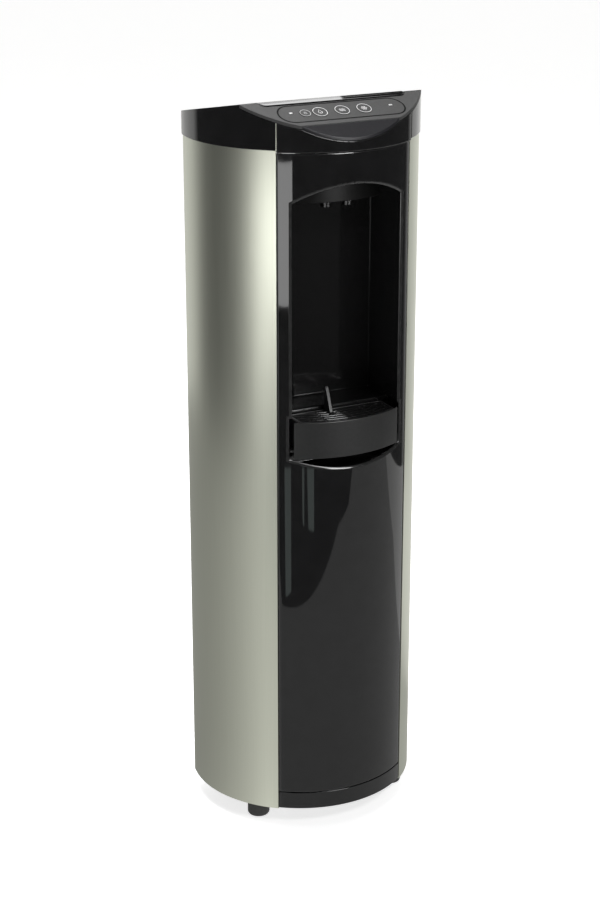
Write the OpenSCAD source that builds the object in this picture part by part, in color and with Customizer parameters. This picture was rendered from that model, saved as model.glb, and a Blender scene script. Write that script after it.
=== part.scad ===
// Free-standing mains-fed water cooler: a round cabinet with a flat back,
// an arched dispensing niche and a sloped key panel.
// Millimetres, +Z up, front towards -Y, origin on the floor at the middle of the overall width and depth.

/* [Cabinet] */
// Outside radius of the round cabinet
body_r = 173; // [168:1:185]
// Height of the side panels
panel_h = 1020; // [1000:5:1080]
// Distance from the cabinet's axis to its flat back
back_y = 50; // [46:1:70]
// Radius of the upright rear corners
corner_r = 14; // [10:1:20]
// Sheet thickness of the side and back panels
skin = 1.5; // [1:0.1:2.5]
// Depth of the folded edges of the side panels
fold = 10; // [6:1:14]
// Visible seam between neighbouring panels
seam = 1.2; // [0.6:0.1:2]
// Hidden clearance between pieces that sit together
fit = 0.3; // [0.2:0.05:0.5]
// Half width of the back panel
back_half_w = 146; // [135:1:150]
// Height of the feet
foot_h = 28; // [22:1:40]
// Radius of the feet
foot_r = 17; // [12:1:20]
// Sideways distance of the feet from the middle
foot_x = 117; // [100:1:122]
// Distance of the front feet in front of the axis
foot_front_y = 88; // [70:1:95]
// Distance of the rear feet behind the axis
foot_rear_y = 22; // [10:1:25]
// Radius of the stud on each foot
stud_r = 4; // [3:0.5:6]
// Thickness of the base pan
base_t = 4; // [3:0.5:6]
// Height of the base pan's rim
base_rim = 22; // [12:1:24]

/* [Front] */
// Half angle of the black front between the side panels
front_half_angle = 37.8; // [36:0.2:42]
// How far the black front lies inside the side panels' outside
front_inset = 0.8; // [0.4:0.1:2]
// Thickness of the front mouldings
front_t = 3; // [2.5:0.1:4]
// Height of the kick plate
kick_h = 28; // [26:1:40]
// Half width of the niche opening
niche_half_w = 88; // [84:1:92]
// Distance of the arch's top below the side panels' top
arch_top = 50; // [45:1:70]
// Radius of the arch
arch_r = 168; // [150:1:220]
// Height of the scoop's lowest point above the side panels' bottom
scoop_low = 555; // [550:1:558]
// Radius of the scoop below the tray
scoop_r = 272; // [240:1:320]
// Extra half width of the opening beside the tray
tray_flare = 3.5; // [2:0.5:5]
// Wall thickness of the niche liner
liner_t = 2.5; // [2:0.1:3.5]
// Distance of the niche's back wall in front of the axis
niche_back_y = 54; // [50:1:62]
// Height of the niche ceiling above the arch's top
ceiling_h = 5; // [2:1:15]

/* [Drip tray] */
// Height of the finger gap between the scoop and the tray
finger_gap = 16; // [16:0.5:24]
// Height of the tray's front
tray_h = 55; // [50:1:60]
// Half width of the tray's front
tray_half_w = 85; // [80:1:88]
// Wall thickness of the tray
tray_t = 2.4; // [2:0.1:3.5]
// How far the tray's basin lies above the lower edge of its front
basin_lift = 14; // [8:1:20]
// Distance of the tray's rear wall in front of the axis
tray_rear_y = 110; // [104:1:116]
// Thickness of the drip grille
grille_t = 3; // [2:0.5:5]
// Pitch of the grille's slots
slot_pitch = 6; // [5:0.5:8]
// Width of the grille's slots
slot_w = 3; // [2:0.5:4]
// Height of the tray's upright tab above the grille
tab_h = 36; // [20:1:45]

/* [Nozzles] */
// Half width of the nozzle housing
housing_half_w = 66; // [55:1:80]
// Radius of the nozzle housing's curved front about the axis
housing_r = 136; // [130:1:150]
// Depth of the nozzle housing below the ceiling
housing_h = 36; // [30:1:45]
// Sideways distance of the nozzles from the middle
nozzle_x = 17; // [16:1:24]
// Distance of the nozzles behind the housing's curved front
nozzle_y = 21; // [16:1:28]
// Outside radius of the nozzles
nozzle_r = 8; // [6:0.5:10]
// Bore radius of the nozzles
nozzle_bore_r = 4.5; // [3:0.5:5]
// How far the nozzles show below the housing
nozzle_show = 9; // [6:1:14]

/* [Cap] */
// How far the cap stands out over the side panels
cap_overhang = 2; // [1:0.5:5]
// Wall thickness of the cap
cap_t = 3; // [2.5:0.1:4]
// Height of the ridge above the side panels
ridge_h = 60.4; // [56:0.2:66]
// Angle of the control slope
slope_angle = 24; // [22:0.5:26]
// Angle of the roof behind the ridge
roof_angle = 10.8; // [8:0.2:12]
// Angle of the bare front plate below the control slope
brow_angle = 46; // [42:1:50]
// Depth of the control slope in front of the ridge
slope_d = 58; // [54:0.5:60]
// Distance of the ridge behind the cap's front
ridge_y = 76; // [71:1:80]
// Thickness of the control plate
plate_t = 4; // [3.5:0.1:5]
// Thickness of the bare front plate
brow_t = 3; // [2.5:0.1:4]
// How far the fascia band hangs below the cap's lower edge
fascia_drop = 3; // [2:0.5:6]
// Half width of the lid behind the ridge
lid_half_w = 116; // [105:1:120]
// How far the lid reaches in front of the ridge
lid_lip = 9; // [6:0.5:9]
// Distance of the lid's rear edge from the flat back
lid_back_gap = 16; // [12:1:24]
// Corner radius of the lid
lid_corner_r = 12; // [8:1:16]
// How far the lid stands above the cap
lid_rise = 1; // [0.5:0.1:2]
// Radius of the lid's rounded ridge
lid_ridge_r = 30; // [20:1:34]
// Groove round the lid and the key panel
groove = 0.8; // [0.5:0.1:0.9]

/* [Keys] */
// Distance of the row of keys in front of the ridge
key_row_d = 30.7; // [30.5:0.1:32]
// Length of the key panel
key_panel_l = 196; // [185:1:204]
// Width of the key panel
key_panel_w = 40; // [34:1:41]
// Thickness of the key panel
key_panel_t = 1.8; // [1.5:0.1:2]
// Radius of the three large keys
key_r = 11.2; // [9:0.1:12]
// Radius of the lock key
lock_r = 8.4; // [6:0.1:9]
// Distance between the large keys
key_pitch = 34.6; // [32:0.2:36]
// Distance of the lock key from the hot key
lock_pitch = 23; // [22:0.2:24]
// How far the keys stand above the key panel
key_rise = 0.5; // [0.3:0.1:1]
// Travel of the keys
key_travel = 0.8; // [0.5:0.1:1]
// Radius of the keys' stems
stem_r = 3; // [2:0.5:4]
// Sideways distance of the indicator lenses from the middle
lens_x = 78.5; // [74:0.5:80]

/* [Works] */
// Height of the shelf above the side panels' bottom
shelf_h = 262; // [255:1:275]
// Thickness of the shelf
shelf_t = 2; // [1.5:0.1:3]
// Outside radius of the cold tank
cold_r = 58; // [52:1:60]
// Height of the cold tank
cold_h = 205; // [180:1:215]
// Wall thickness of both tanks
tank_t = 1.5; // [1:0.1:2]
// Radius of the evaporator tube
coil_r = 3.5; // [3:0.5:4]
// Turns of the evaporator coil
coil_turns = 9; // [5:1:11]
// Insulation thickness round the cold tank
foam_t = 10; // [8:1:12]
// Outside radius of the hot tank
hot_r = 46; // [40:1:48]
// Height of the hot tank
hot_h = 190; // [160:1:200]
// Jacket thickness round the hot tank
jacket_t = 10; // [6:1:12]
// Radius of the compressor's shell
comp_r = 60; // [52:1:64]
// Height of the compressor's shell
comp_h = 118; // [100:1:130]
// Height of the compressor's rubber grommets
grommet_h = 12; // [8:1:16]
// Radius of the filter cartridge
filter_r = 30; // [25:1:32]
// Length of the filter cartridge
filter_l = 190; // [170:1:200]
// Outside radius of the water tubes
tube_r = 4; // [3:0.5:5]

/* [Back] */
// Distance from the flat back to the middle of the condenser's tube
condenser_y = 34; // [24:1:45]
// Half width of the condenser
condenser_half_w = 110; // [90:1:115]
// Height of the condenser's lowest tube above the side panels' bottom
condenser_low = 330; // [300:1:350]
// Radius of the condenser's tube
condenser_r = 2.4; // [2:0.1:3]
// Pitch of the condenser's passes
condenser_pitch = 46; // [40:1:48]
// Number of the condenser's passes
condenser_passes = 13; // [9:2:13]
// Radius of the condenser's wires
wire_r = 0.9; // [0.7:0.1:1.2]
// Pitch of the condenser's wires
wire_pitch = 16; // [12:1:20]
// Sideways distance of the sockets on the back from the middle
socket_x = 92; // [86:1:98]
// Height of the lower sockets above the side panels' bottom
socket_h = 78; // [70:1:90]
// Height of the upper sockets above the lower ones
socket_pitch = 72; // [66:1:80]
// Bore radius of the water inlet, for a quarter-inch tube
inlet_bore_r = 3.25; // [3:0.05:4]
// Depth of the water inlet's bore
inlet_bore_l = 16; // [12:1:20]
// Radius of the rocker switches
rocker_r = 11; // [9:0.5:12]
// Width of the rocker switches
rocker_w = 13; // [10:0.5:14]
// Swing of the rocker switches
rocker_swing = 20; // [14:1:24]

/* [Hidden] */
$fn = 64;

// Heights above the floor
z0 = foot_h;
z1 = z0 + panel_h;
// Larger than any piece, for cutting shapes
far = 600;
// Added to a cutting shape so that it passes right through
over = 1;
// How deep the condenser's wires are welded into its tube
wire_weld = 0.3;
// The rear reach sets the place of the axis, so that the origin is in the middle of the depth
cap_r = body_r + cap_overhang;
rear_reach = back_y + condenser_y + condenser_r + 2 * wire_r - wire_weld;
axis_y = (cap_r - rear_reach) / 2;

// Radii and angles of the front
front_r = body_r - front_inset;
front_in_r = front_r - front_t;
// The opening beside the tray is wide enough for the niche's flare and for the tray
tray_clear = 3;
wide_half_w = max(niche_half_w + tray_flare, tray_half_w + tray_clear);
half_seam_angle = asin(seam / 2 / body_r);
front_top = z1 - fascia_drop - seam;
kick_top = z0 + kick_h;
liner_r = front_in_r - fit;

// Tray heights above the floor
tray_z = z0 + scoop_low + finger_gap;
tray_top = tray_z + tray_h;
basin_z = tray_z + basin_lift;
grille_z = tray_top - grille_t;
step_rise = 6;
step_z = tray_top + step_rise;
step_gap = 2;
floor_drop = 7;
liner_floor = z0 + scoop_low - floor_drop;
tray_wing = 6;
tray_in_half_w = tray_half_w - tray_wing;
basin_front_r = front_r - 2 * tray_t;
tab_x = -14;
tab_t = 5;
tab_base = 20;

// Niche
arch_z = z1 - arch_top;
niche_top = arch_z + ceiling_h;
spout_y = housing_r - nozzle_y;
housing_z = niche_top - housing_h;
nozzle_low = housing_z - nozzle_show;
barb_l = 14;
nozzle_top = niche_top + liner_t + barb_l;

// Heights of the cap's planes at a distance y behind the axis
ridge_z = z1 + ridge_h;
ridge_front = cap_r - ridge_y;
brow_y = ridge_front + slope_d;
key_row_y = ridge_front + key_row_d;
function slope_z(y) = ridge_z + tan(slope_angle) * (y + ridge_front);
function roof_z(y) = ridge_z - tan(roof_angle) * (y + ridge_front);
brow_z = slope_z(-brow_y);
function brow_plane_z(y) = brow_z + tan(brow_angle) * (y + brow_y);
plate_v = plate_t / cos(slope_angle);
brow_v = brow_t / cos(brow_angle);
roof_v = cap_t / cos(roof_angle);
cap_back = back_y + cap_overhang;
cap_low = z1 - fascia_drop;

// Keys, in the slope's own frame
key_x = [-key_pitch - lock_pitch, -key_pitch, 0, key_pitch];
board_gap = 5;
boss_out = 7;
lens_rise = 0.2;
board_t = 1.6;
switch_h = 3.5;
seat_gap = 0.1;
stem_low = -plate_t - board_gap + switch_h + key_travel + fit;

// Works
floor_z = z0 + base_t;
shelf_top = z0 + shelf_h + shelf_t;
coil_steps = 20;
coil_seat_r = (cold_r + fit) / cos(180 / coil_steps);
foam_in_r = coil_seat_r + 2 * coil_r + fit;
foam_out_r = foam_in_r + foam_t;
hot_out_r = hot_r + fit + jacket_t;
works_y = -40;
// The tanks share the free width between the side walls, and this part of it lies left of them
tank_shift = 0.3;
tank_gap = 12;
room_left = sqrt(pow(body_r - skin - foam_out_r, 2) - pow(works_y, 2));
room_right = sqrt(pow(body_r - skin - hot_out_r, 2) - pow(works_y, 2));
tank_pitch = foam_out_r + tank_gap + hot_out_r;
cold_x = tank_shift * (room_left + room_right - tank_pitch) - room_left;
hot_x = cold_x + tank_pitch;
port_y = -26;
tank_seat = 8;
tank_end = 14;
port_l = 12;
cold_z = shelf_top + tank_seat;
hot_z = shelf_top + tank_seat;
valve_drop = 95;
valve_z = niche_top - valve_drop;
valve_h = 34;
valve_w = 28;
valve_port_l = 10;
valve_x = [-nozzle_x, nozzle_x, 3 * nozzle_x];
bracket_t = 2;
comp_z = floor_z + grommet_h;
filter_in = 48.6;
filter_turn = 53.5;
filter_x = (body_r - filter_in) * sin(filter_turn);
filter_y = -(body_r - filter_in) * cos(filter_turn);
comp_reach = 100;
comp_x = filter_x - comp_reach;
head_h = 30;
head_tab_h = 6;
head_port_l = 6;
head_port_z = head_h / 2 - 3;
filter_top = z0 + shelf_h - head_h;
drier_in = 57;
drier_x = drier_in - body_r;
socket_z = [z0 + socket_h, z0 + socket_h + socket_pitch];
back_out = back_y + skin;
lug_out = 14;
lug_t = 4;
grommet_pin_r = 4;
element_r = 17;
tube_bend = 12;
tube_over = nozzle_top + tube_bend;
ambient_x = valve_x[2];
ambient_y = 28;

// Fittings on the back
inlet_thread_r = 8;
inlet_nose_l = 20;
spigot_r = 7;
spigot_l = 16;
spigot_flange_t = 3;
mains_w = 27;
mains_h = 20;
rocker_wall = 5;
rocker_pitch = rocker_w + rocker_wall;
frame_in_w = 2 * rocker_pitch + 2;
frame_in_h = 2 * rocker_r + 6;
rocker_gap = 0.4;

// A rigid shift from the axis to the part's own origin
module at_axis() {
    translate([0, axis_y, 0]) children();
}

// A 2D outline in (y, z), swept across the width
module across(w = 2 * far) {
    rotate([90, 0, 90]) linear_extrude(w, center = true) children();
}

// An upright curved wall, from angle a0 to a1 measured from the front towards +X
module curved_wall(r, t, z, h, a0, a1) {
    translate([0, 0, z]) rotate([0, 0, a0 - 90])
        rotate_extrude(angle = a1 - a0, $fn = 180) translate([r - t, 0]) square([t, h]);
}

// The cabinet's outline from above: a circle with a flat back and rounded rear corners
module outline(r, b, c) {
    centre = [sqrt(pow(r - c, 2) - pow(b - c, 2)), b - c];
    turn = atan2(centre.y, centre.x);
    mid = (turn + 90) / 2;
    reach = 3 * c;
    difference() {
        circle(r, $fn = 180);
        translate([-far, b]) square([2 * far, far]);
        for (side = [0, 1]) mirror([side, 0]) translate(centre) difference() {
            polygon([[0, 0], reach * [cos(turn), sin(turn)], 2 * reach * [cos(mid), sin(mid)], [0, reach]]);
            circle(c);
        }
    }
}

// The same outline, a distance inside the side panels' outside
module inside_plan(gap) {
    outline(body_r - gap, back_y - gap, corner_r - gap);
}

// The part of the plan in front, between two angles measured from the front to both sides
module front_sector(angle) {
    polygon([[0, 0], far * [-sin(angle), -cos(angle)], [0, -2 * far], far * [sin(angle), -cos(angle)]]);
}

module capsule(l, w) {
    square([l - w, w], center = true);
    for (side = [-1, 1]) translate([side * (l - w) / 2, 0]) circle(w / 2);
}

module rounded_rect(w, h, r) {
    square([w - 2 * r, h], center = true);
    square([w, h - 2 * r], center = true);
    for (x = [-1, 1], y = [-1, 1]) translate([x * (w / 2 - r), y * (h / 2 - r)]) circle(r);
}

// A round tube or rod along points, with true bends
function unit(v) = v / norm(v);
module aim(from, dir) {
    translate(from) rotate([0, acos(dir.z), atan2(dir.y, dir.x)]) children();
}
module pipe(points, r, bend) {
    last = len(points) - 1;
    dirs = [for (i = [0:last - 1]) unit(points[i + 1] - points[i])];
    turns = [for (i = [0:last]) i == 0 || i == last ? 0 : acos(dirs[i - 1] * dirs[i])];
    trims = [for (turn = turns) bend * tan(turn / 2)];
    for (i = [0:last - 1]) {
        run = norm(points[i + 1] - points[i]) - trims[i] - trims[i + 1];
        if (run > 0.01) aim(points[i] + dirs[i] * trims[i], dirs[i]) cylinder(r = r, h = run);
    }
    for (i = [1:1:last - 1]) {
        a = dirs[i - 1];
        x = unit(a * cos(turns[i]) - dirs[i]);
        z = cross(x, a);
        c = points[i] - a * trims[i] - x * bend;
        multmatrix([[x.x, a.x, z.x, c.x], [x.y, a.y, z.y, c.y], [x.z, a.z, z.z, c.z], [0, 0, 0, 1]])
            rotate_extrude(angle = turns[i]) translate([bend, 0]) circle(r);
    }
}

// The frame of the control slope: origin at the middle of the row of keys, z out of the slope
module on_slope() {
    translate([0, -key_row_y, slope_z(-key_row_y)]) rotate([slope_angle, 0, 0]) children();
}

// The frame of the back panel's outside: x to the viewer's left seen from behind, z outwards
module on_back(x, z, y = back_out) {
    translate([x, y, z]) rotate([-90, 0, 0]) children();
}

// Base and feet

module base_pan() {
    gap = skin + fit;
    color([0.13, 0.13, 0.13]) at_axis() difference() {
        translate([0, 0, z0]) linear_extrude(base_rim) inside_plan(gap);
        translate([0, 0, floor_z]) linear_extrude(base_rim) inside_plan(gap + base_t);
        front_notch(base_rim);
        for (x = [-foot_x, foot_x], y = [-foot_front_y, foot_rear_y])
            translate([x, y, z0 - over]) cylinder(r = stud_r + fit, h = base_t + 2 * over);
    }
}

// Room in the base pan's rim for the black front
module front_notch(h) {
    curved_wall(body_r + over, front_inset + front_t + fit + over, z0 - over, h + 2 * over,
        -front_half_angle, front_half_angle);
}

module foot(x, y) {
    edge = 5;
    stud_l = base_t + 6;
    color([0.17, 0.17, 0.16]) at_axis() translate([x, y, 0]) {
        rotate_extrude() {
            square([foot_r - edge, foot_h]);
            translate([0, edge]) square([foot_r, foot_h - edge]);
            translate([foot_r - edge, edge]) circle(edge);
        }
        translate([0, 0, foot_h]) cylinder(r = stud_r, h = stud_l);
    }
}

module foot_front_left() { foot(-foot_x, -foot_front_y); }
module foot_front_right() { foot(foot_x, -foot_front_y); }
module foot_rear_left() { foot(-foot_x, foot_rear_y); }
module foot_rear_right() { foot(foot_x, foot_rear_y); }

// Outer panels

module side_panel() {
    start = front_half_angle + half_seam_angle;
    edge = body_r * [sin(start), -cos(start)];
    fold_z = z0 + base_rim + fit;
    back_opening = back_half_w - fold;
    color([0.66, 0.66, 0.60]) at_axis() {
        translate([0, 0, z0]) linear_extrude(panel_h) difference() {
            inside_plan(0);
            inside_plan(skin);
            front_sector(start);
            translate([-far, -far]) square([far, 2 * far]);
            square([back_opening, far]);
        }
        translate([0, 0, fold_z]) linear_extrude(z1 - fit - fold_z) difference() {
            translate([edge.x - skin, edge.y]) square([skin, fold]);
            front_sector(start);
        }
    }
}

module side_panel_left() { mirror([1, 0, 0]) side_panel(); }
module side_panel_right() { side_panel(); }

module back_panel() {
    vent_l = 44;
    vent_w = 5;
    vent_pitch = 12;
    vent_x = 26;
    low_vents = 12;
    low_vent_h = 84;
    low_vent_z = z0 + low_vent_h;
    top_vents = 4;
    top_vent_drop = 68;
    top_vent_z = z1 - top_vent_drop;
    through = skin + 2 * over;
    inside = back_y - over;
    color([0.30, 0.30, 0.30]) at_axis() difference() {
        translate([-back_half_w, back_y, z0 + seam]) cube([2 * back_half_w, skin, panel_h - seam]);
        for (i = [0:low_vents - 1], x = [-1, 1]) on_back(x * vent_x, low_vent_z + i * vent_pitch, inside)
            linear_extrude(through) capsule(vent_l, vent_w);
        for (i = [0:top_vents - 1], x = [-2, 0, 2]) on_back(x * vent_x, top_vent_z + i * vent_pitch, inside)
            linear_extrude(through) capsule(vent_l, vent_w);
        on_back(socket_x, socket_z[0], inside) cylinder(r = inlet_thread_r + fit, h = through);
        on_back(socket_x, socket_z[1], inside) cylinder(r = spigot_r + fit, h = through);
        on_back(-socket_x, socket_z[0], inside) linear_extrude(through)
            square([mains_w + 2 * fit, mains_h + 2 * fit], center = true);
        on_back(-socket_x, socket_z[1], inside) linear_extrude(through)
            square([frame_in_w + 2 * fit, frame_in_h + 2 * fit], center = true);
    }
}

// The niche opening in the front panel, in (x, z)
module niche_opening() {
    intersection() {
        translate([0, z0 + scoop_low + scoop_r]) circle(scoop_r, $fn = 180);
        union() {
            intersection() {
                translate([0, arch_z - arch_r]) circle(arch_r, $fn = 180);
                translate([-niche_half_w, arch_z - arch_r]) square([2 * niche_half_w, arch_r + over]);
            }
            translate([-niche_half_w, step_z - over])
                square([2 * niche_half_w, arch_z - arch_r - step_z + 2 * over]);
            translate([-wide_half_w, z0 + scoop_low - over])
                square([2 * wide_half_w, step_z - z0 - scoop_low + over]);
        }
    }
}

module front_panel() {
    half = front_half_angle - half_seam_angle;
    low = kick_top + seam;
    color([0.05, 0.05, 0.05]) at_axis() difference() {
        curved_wall(front_r, front_t, low, front_top - low, -half, half);
        rotate([90, 0, 0]) linear_extrude(far) niche_opening();
    }
}

module kick_plate() {
    half = front_half_angle - half_seam_angle;
    color([0.07, 0.07, 0.07]) at_axis()
        curved_wall(front_r, front_t, z0 + seam, kick_h - seam, -half, half);
}

// Dispensing niche

module niche_liner() {
    out_w = wide_half_w + liner_t;
    low = liner_floor - liner_t;
    rail_grip = 8;
    rail_w = wide_half_w - tray_in_half_w + rail_grip;
    rail_h = 6;
    step_y = -tray_rear_y + step_gap;
    color([0.04, 0.04, 0.04]) at_axis() intersection() {
        cylinder(r = liner_r, h = far * 3, $fn = 180);
        difference() {
            translate([-out_w, -far, low])
                cube([2 * out_w, far - niche_back_y + liner_t, niche_top + liner_t - low]);
            translate([-niche_half_w, -far, step_z])
                cube([2 * niche_half_w, far - niche_back_y, niche_top - step_z]);
            difference() {
                translate([-wide_half_w, -far, liner_floor])
                    cube([2 * wide_half_w, far + step_y, step_z - liner_floor]);
                for (side = [0, 1]) mirror([side, 0, 0])
                    translate([wide_half_w - rail_w, -far, basin_z - rail_h]) cube([rail_w, far, rail_h]);
            }
            translate([-wide_half_w, step_y + liner_t, low - over])
                cube([2 * wide_half_w, -niche_back_y - step_y - liner_t, step_z - liner_t - low + over]);
            for (side = [-1, 1]) {
                translate([side * nozzle_x, -spout_y, niche_top - over])
                    cylinder(r = nozzle_r + fit, h = liner_t + 2 * over);
                trim_outside(side);
            }
        }
    }
}

// The liner's walls above the tray follow the narrower opening
module trim_outside(side) {
    w = tray_flare + over;
    x = side > 0 ? niche_half_w + liner_t : -niche_half_w - liner_t - w;
    translate([x, -far, step_z]) cube([w, far, niche_top - step_z + liner_t + over]);
}

module nozzle_housing() {
    lip = 4;
    top = niche_top - housing_z;
    color([0.06, 0.06, 0.06]) at_axis() difference() {
        translate([0, 0, housing_z]) linear_extrude(top) intersection() {
            circle(housing_r, $fn = 180);
            translate([-housing_half_w, -far]) square([2 * housing_half_w, far - niche_back_y]);
        }
        translate([0, 0, housing_z + lip]) linear_extrude(top) intersection() {
            circle(housing_r - lip, $fn = 180);
            translate([lip - housing_half_w, -far])
                square([2 * (housing_half_w - lip), far - niche_back_y - lip]);
        }
        for (side = [-1, 1]) translate([side * nozzle_x, -spout_y, housing_z - over])
            cylinder(r = nozzle_r + fit, h = lip + 2 * over);
    }
}

module nozzle(x) {
    collar_r = nozzle_r + 2.5;
    collar_h = 3;
    barb_t = 1.5;
    color([0.80, 0.80, 0.80]) at_axis() translate([x, -spout_y, 0]) difference() {
        union() {
            translate([0, 0, nozzle_low]) cylinder(r = nozzle_r, h = niche_top + liner_t - nozzle_low);
            translate([0, 0, housing_z - collar_h]) cylinder(r = collar_r, h = collar_h);
            translate([0, 0, niche_top + liner_t]) cylinder(r = nozzle_bore_r + barb_t, h = barb_l);
        }
        translate([0, 0, nozzle_low - over])
            cylinder(r = nozzle_bore_r, h = nozzle_top - nozzle_low + 2 * over);
    }
}

module nozzle_cold() { nozzle(-nozzle_x); }
module nozzle_hot() { nozzle(nozzle_x); }

// Drip tray

module tray_outline(r, half_w, rear) {
    intersection() {
        circle(r, $fn = 180);
        translate([-half_w, -far]) square([2 * half_w, far - rear]);
    }
}

module drip_tray() {
    ledge = 3;
    wall = tray_t + ledge;
    color([0.19, 0.19, 0.19]) at_axis() {
        difference() {
            union() {
                translate([0, 0, tray_z]) linear_extrude(tray_h) difference() {
                    tray_outline(front_r, tray_half_w, 0);
                    circle(front_r - tray_t, $fn = 180);
                }
                translate([0, 0, basin_z]) linear_extrude(tray_top - basin_z)
                    tray_outline(front_r - tray_t / 2, tray_in_half_w, tray_rear_y);
            }
            translate([0, 0, basin_z + tray_t]) linear_extrude(tray_h)
                tray_outline(basin_front_r - ledge, tray_in_half_w - wall, tray_rear_y + wall);
            translate([0, 0, grille_z]) linear_extrude(tray_h)
                tray_outline(basin_front_r, tray_in_half_w - tray_t, tray_rear_y + tray_t);
        }
        tray_tab();
    }
}

// Upright tab at the tray's rear wall
module tray_tab() {
    top = tray_top + tab_h;
    tip = 3;
    translate([tab_x - tab_t / 2, 0, 0]) rotate([90, 0, 90]) linear_extrude(tab_t) polygon([
        [-tray_rear_y, tray_top - tray_t], [-tray_rear_y, top - tip], [-tray_rear_y - tip, top],
        [-tray_rear_y - 2 * tip, top - tip], [-tray_rear_y - tab_base, tray_top],
        [-tray_rear_y - tray_t, tray_top], [-tray_rear_y - tray_t, tray_top - tray_t]
    ]);
}

module drip_grille() {
    half_w = tray_in_half_w - tray_t - fit;
    rear = tray_rear_y + tray_t + fit;
    rim = 4;
    columns = 4;
    rib = 4;
    column_w = (2 * (half_w - rim) - (columns - 1) * rib) / columns;
    depth = basin_front_r - fit - rear;
    rows = floor((depth - 2 * rim) / slot_pitch);
    color([0.24, 0.24, 0.24]) at_axis() translate([0, 0, grille_z]) linear_extrude(grille_t) difference() {
        tray_outline(basin_front_r - fit, half_w, rear);
        intersection() {
            tray_outline(basin_front_r - fit - rim, half_w - rim, rear + rim);
            for (i = [0:rows - 1], j = [0:columns - 1])
                translate([-half_w + rim + j * (column_w + rib), -rear - rim - slot_w - i * slot_pitch])
                    square([column_w, slot_w]);
        }
        translate([tab_x - tab_t / 2 - fit, -rear - tab_base])
            square([tab_t + 2 * fit, tab_base + over]);
    }
}

// Cap

// Outline in (y, z) below the cap's front planes, lowered by slope_drop and brow_drop
module under_front(slope_drop, brow_drop, low, rear) {
    meet = -brow_y + (slope_drop - brow_drop) / (tan(slope_angle) - tan(brow_angle));
    foot_y = -brow_y - (brow_z - brow_drop - low) / tan(brow_angle);
    polygon([
        [foot_y, low], [rear, low], [rear, slope_z(rear) - slope_drop], [meet, slope_z(meet) - slope_drop]
    ]);
}

// Outline in (y, z) below the roof, from the ridge to the back
module under_roof(drop, low = z1) {
    front = -ridge_front;
    rear = cap_back + over;
    polygon([[front, low], [rear, low], [rear, roof_z(rear) - drop], [front, roof_z(front) - drop]]);
}

module lid_plan(gap = 0) {
    front = -ridge_front - lid_lip;
    rear = back_y - lid_back_gap;
    translate([0, (front + rear) / 2])
        rounded_rect(2 * (lid_half_w + gap), rear - front + 2 * gap, lid_corner_r + gap);
}

module cap_shell() {
    start = front_half_angle + half_seam_angle;
    color([0.05, 0.05, 0.05]) at_axis() difference() {
        intersection() {
            translate([0, 0, z1]) linear_extrude(far) inside_plan(-cap_overhang);
            across() {
                under_front(plate_v + fit, brow_v + fit, z1, -ridge_front);
                under_roof(0);
            }
        }
        intersection() {
            translate([0, 0, z1 - over]) linear_extrude(far) inside_plan(cap_t - cap_overhang);
            across() {
                translate([-far, z1 - over]) square([far - ridge_front, far]);
                under_roof(roof_v, z1 - over);
            }
        }
        translate([0, 0, z1 - over]) linear_extrude(far) intersection() {
            front_sector(start);
            translate([-far, -far]) square([2 * far, far - ridge_front]);
        }
        translate([0, 0, z1 - over]) linear_extrude(far) lid_plan(groove);
    }
}

// A rounded edge where the lid's slope and roof meet
module lid_ridge_cut() {
    half = (slope_angle + roof_angle) / 2;
    reach = lid_ridge_r * tan(half);
    peak = [-ridge_front, ridge_z + lid_rise];
    down = [-cos(slope_angle), -sin(slope_angle)] * reach;
    back = [cos(roof_angle), -sin(roof_angle)] * reach;
    centre = peak + down + [sin(slope_angle), -cos(slope_angle)] * lid_ridge_r;
    difference() {
        polygon([peak + down, peak + [0, over], peak + back, centre]);
        translate(centre) circle(lid_ridge_r, $fn = 180);
    }
}

module top_lid() {
    front = -ridge_front - lid_lip - over;
    rear = back_y;
    color([0.04, 0.04, 0.04]) at_axis() intersection() {
        translate([0, 0, z1]) linear_extrude(far) lid_plan();
        across() difference() {
            polygon([
                [front, slope_z(front) + lid_rise], [-ridge_front, ridge_z + lid_rise],
                [rear, roof_z(rear) + lid_rise],
                [rear, roof_z(rear) - roof_v],
                [-ridge_front, ridge_z - roof_v],
                [front, slope_z(front) - roof_v]
            ]);
            lid_ridge_cut();
        }
    }
}

module fascia_band() {
    half = front_half_angle - half_seam_angle;
    color([0.05, 0.05, 0.05]) at_axis() intersection() {
        curved_wall(cap_r, cap_t, cap_low, far, -half, half);
        across() under_front(plate_v + fit, brow_v + fit, cap_low, -ridge_front);
    }
}

module control_plate() {
    front = -brow_y + groove / 2;
    rear = -ridge_front - groove / 2;
    boss_r = 3;
    boss_l = board_gap + over;
    color([0.30, 0.30, 0.30]) at_axis() difference() {
        union() {
            intersection() {
                translate([0, 0, z1]) cylinder(r = cap_r, h = far, $fn = 180);
                across() polygon([
                    [front, slope_z(front)], [rear, slope_z(rear)],
                    [rear, slope_z(rear) - plate_v], [front, slope_z(front) - plate_v]
                ]);
            }
            on_slope() for (side = [-1, 1]) translate([side * (lens_x + boss_out), 0, -plate_t - board_gap])
                cylinder(r = boss_r, h = boss_l);
        }
        translate([0, 0, z1 - over]) linear_extrude(far) lid_plan(groove);
        on_slope() {
            translate([0, 0, -key_panel_t]) linear_extrude(key_panel_t + over)
                capsule(key_panel_l + 2 * groove, key_panel_w + 2 * groove);
            for (x = key_x) translate([x, 0, -plate_t - over])
                cylinder(r = stem_r + fit, h = plate_t + 2 * over);
            lens_row(fit, -plate_t - over, over);
        }
    }
}

// The two indicator lenses, in the slope's frame
module lens_row(gap, low, high) {
    lens_w = 5;
    lens_d = 2.6;
    lens_s = 3.2;
    for (side = [-1, 1]) translate([side * lens_x, lens_s, low]) linear_extrude(high - low)
        square([lens_w + 2 * gap, lens_d + 2 * gap], center = true);
}

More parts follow.
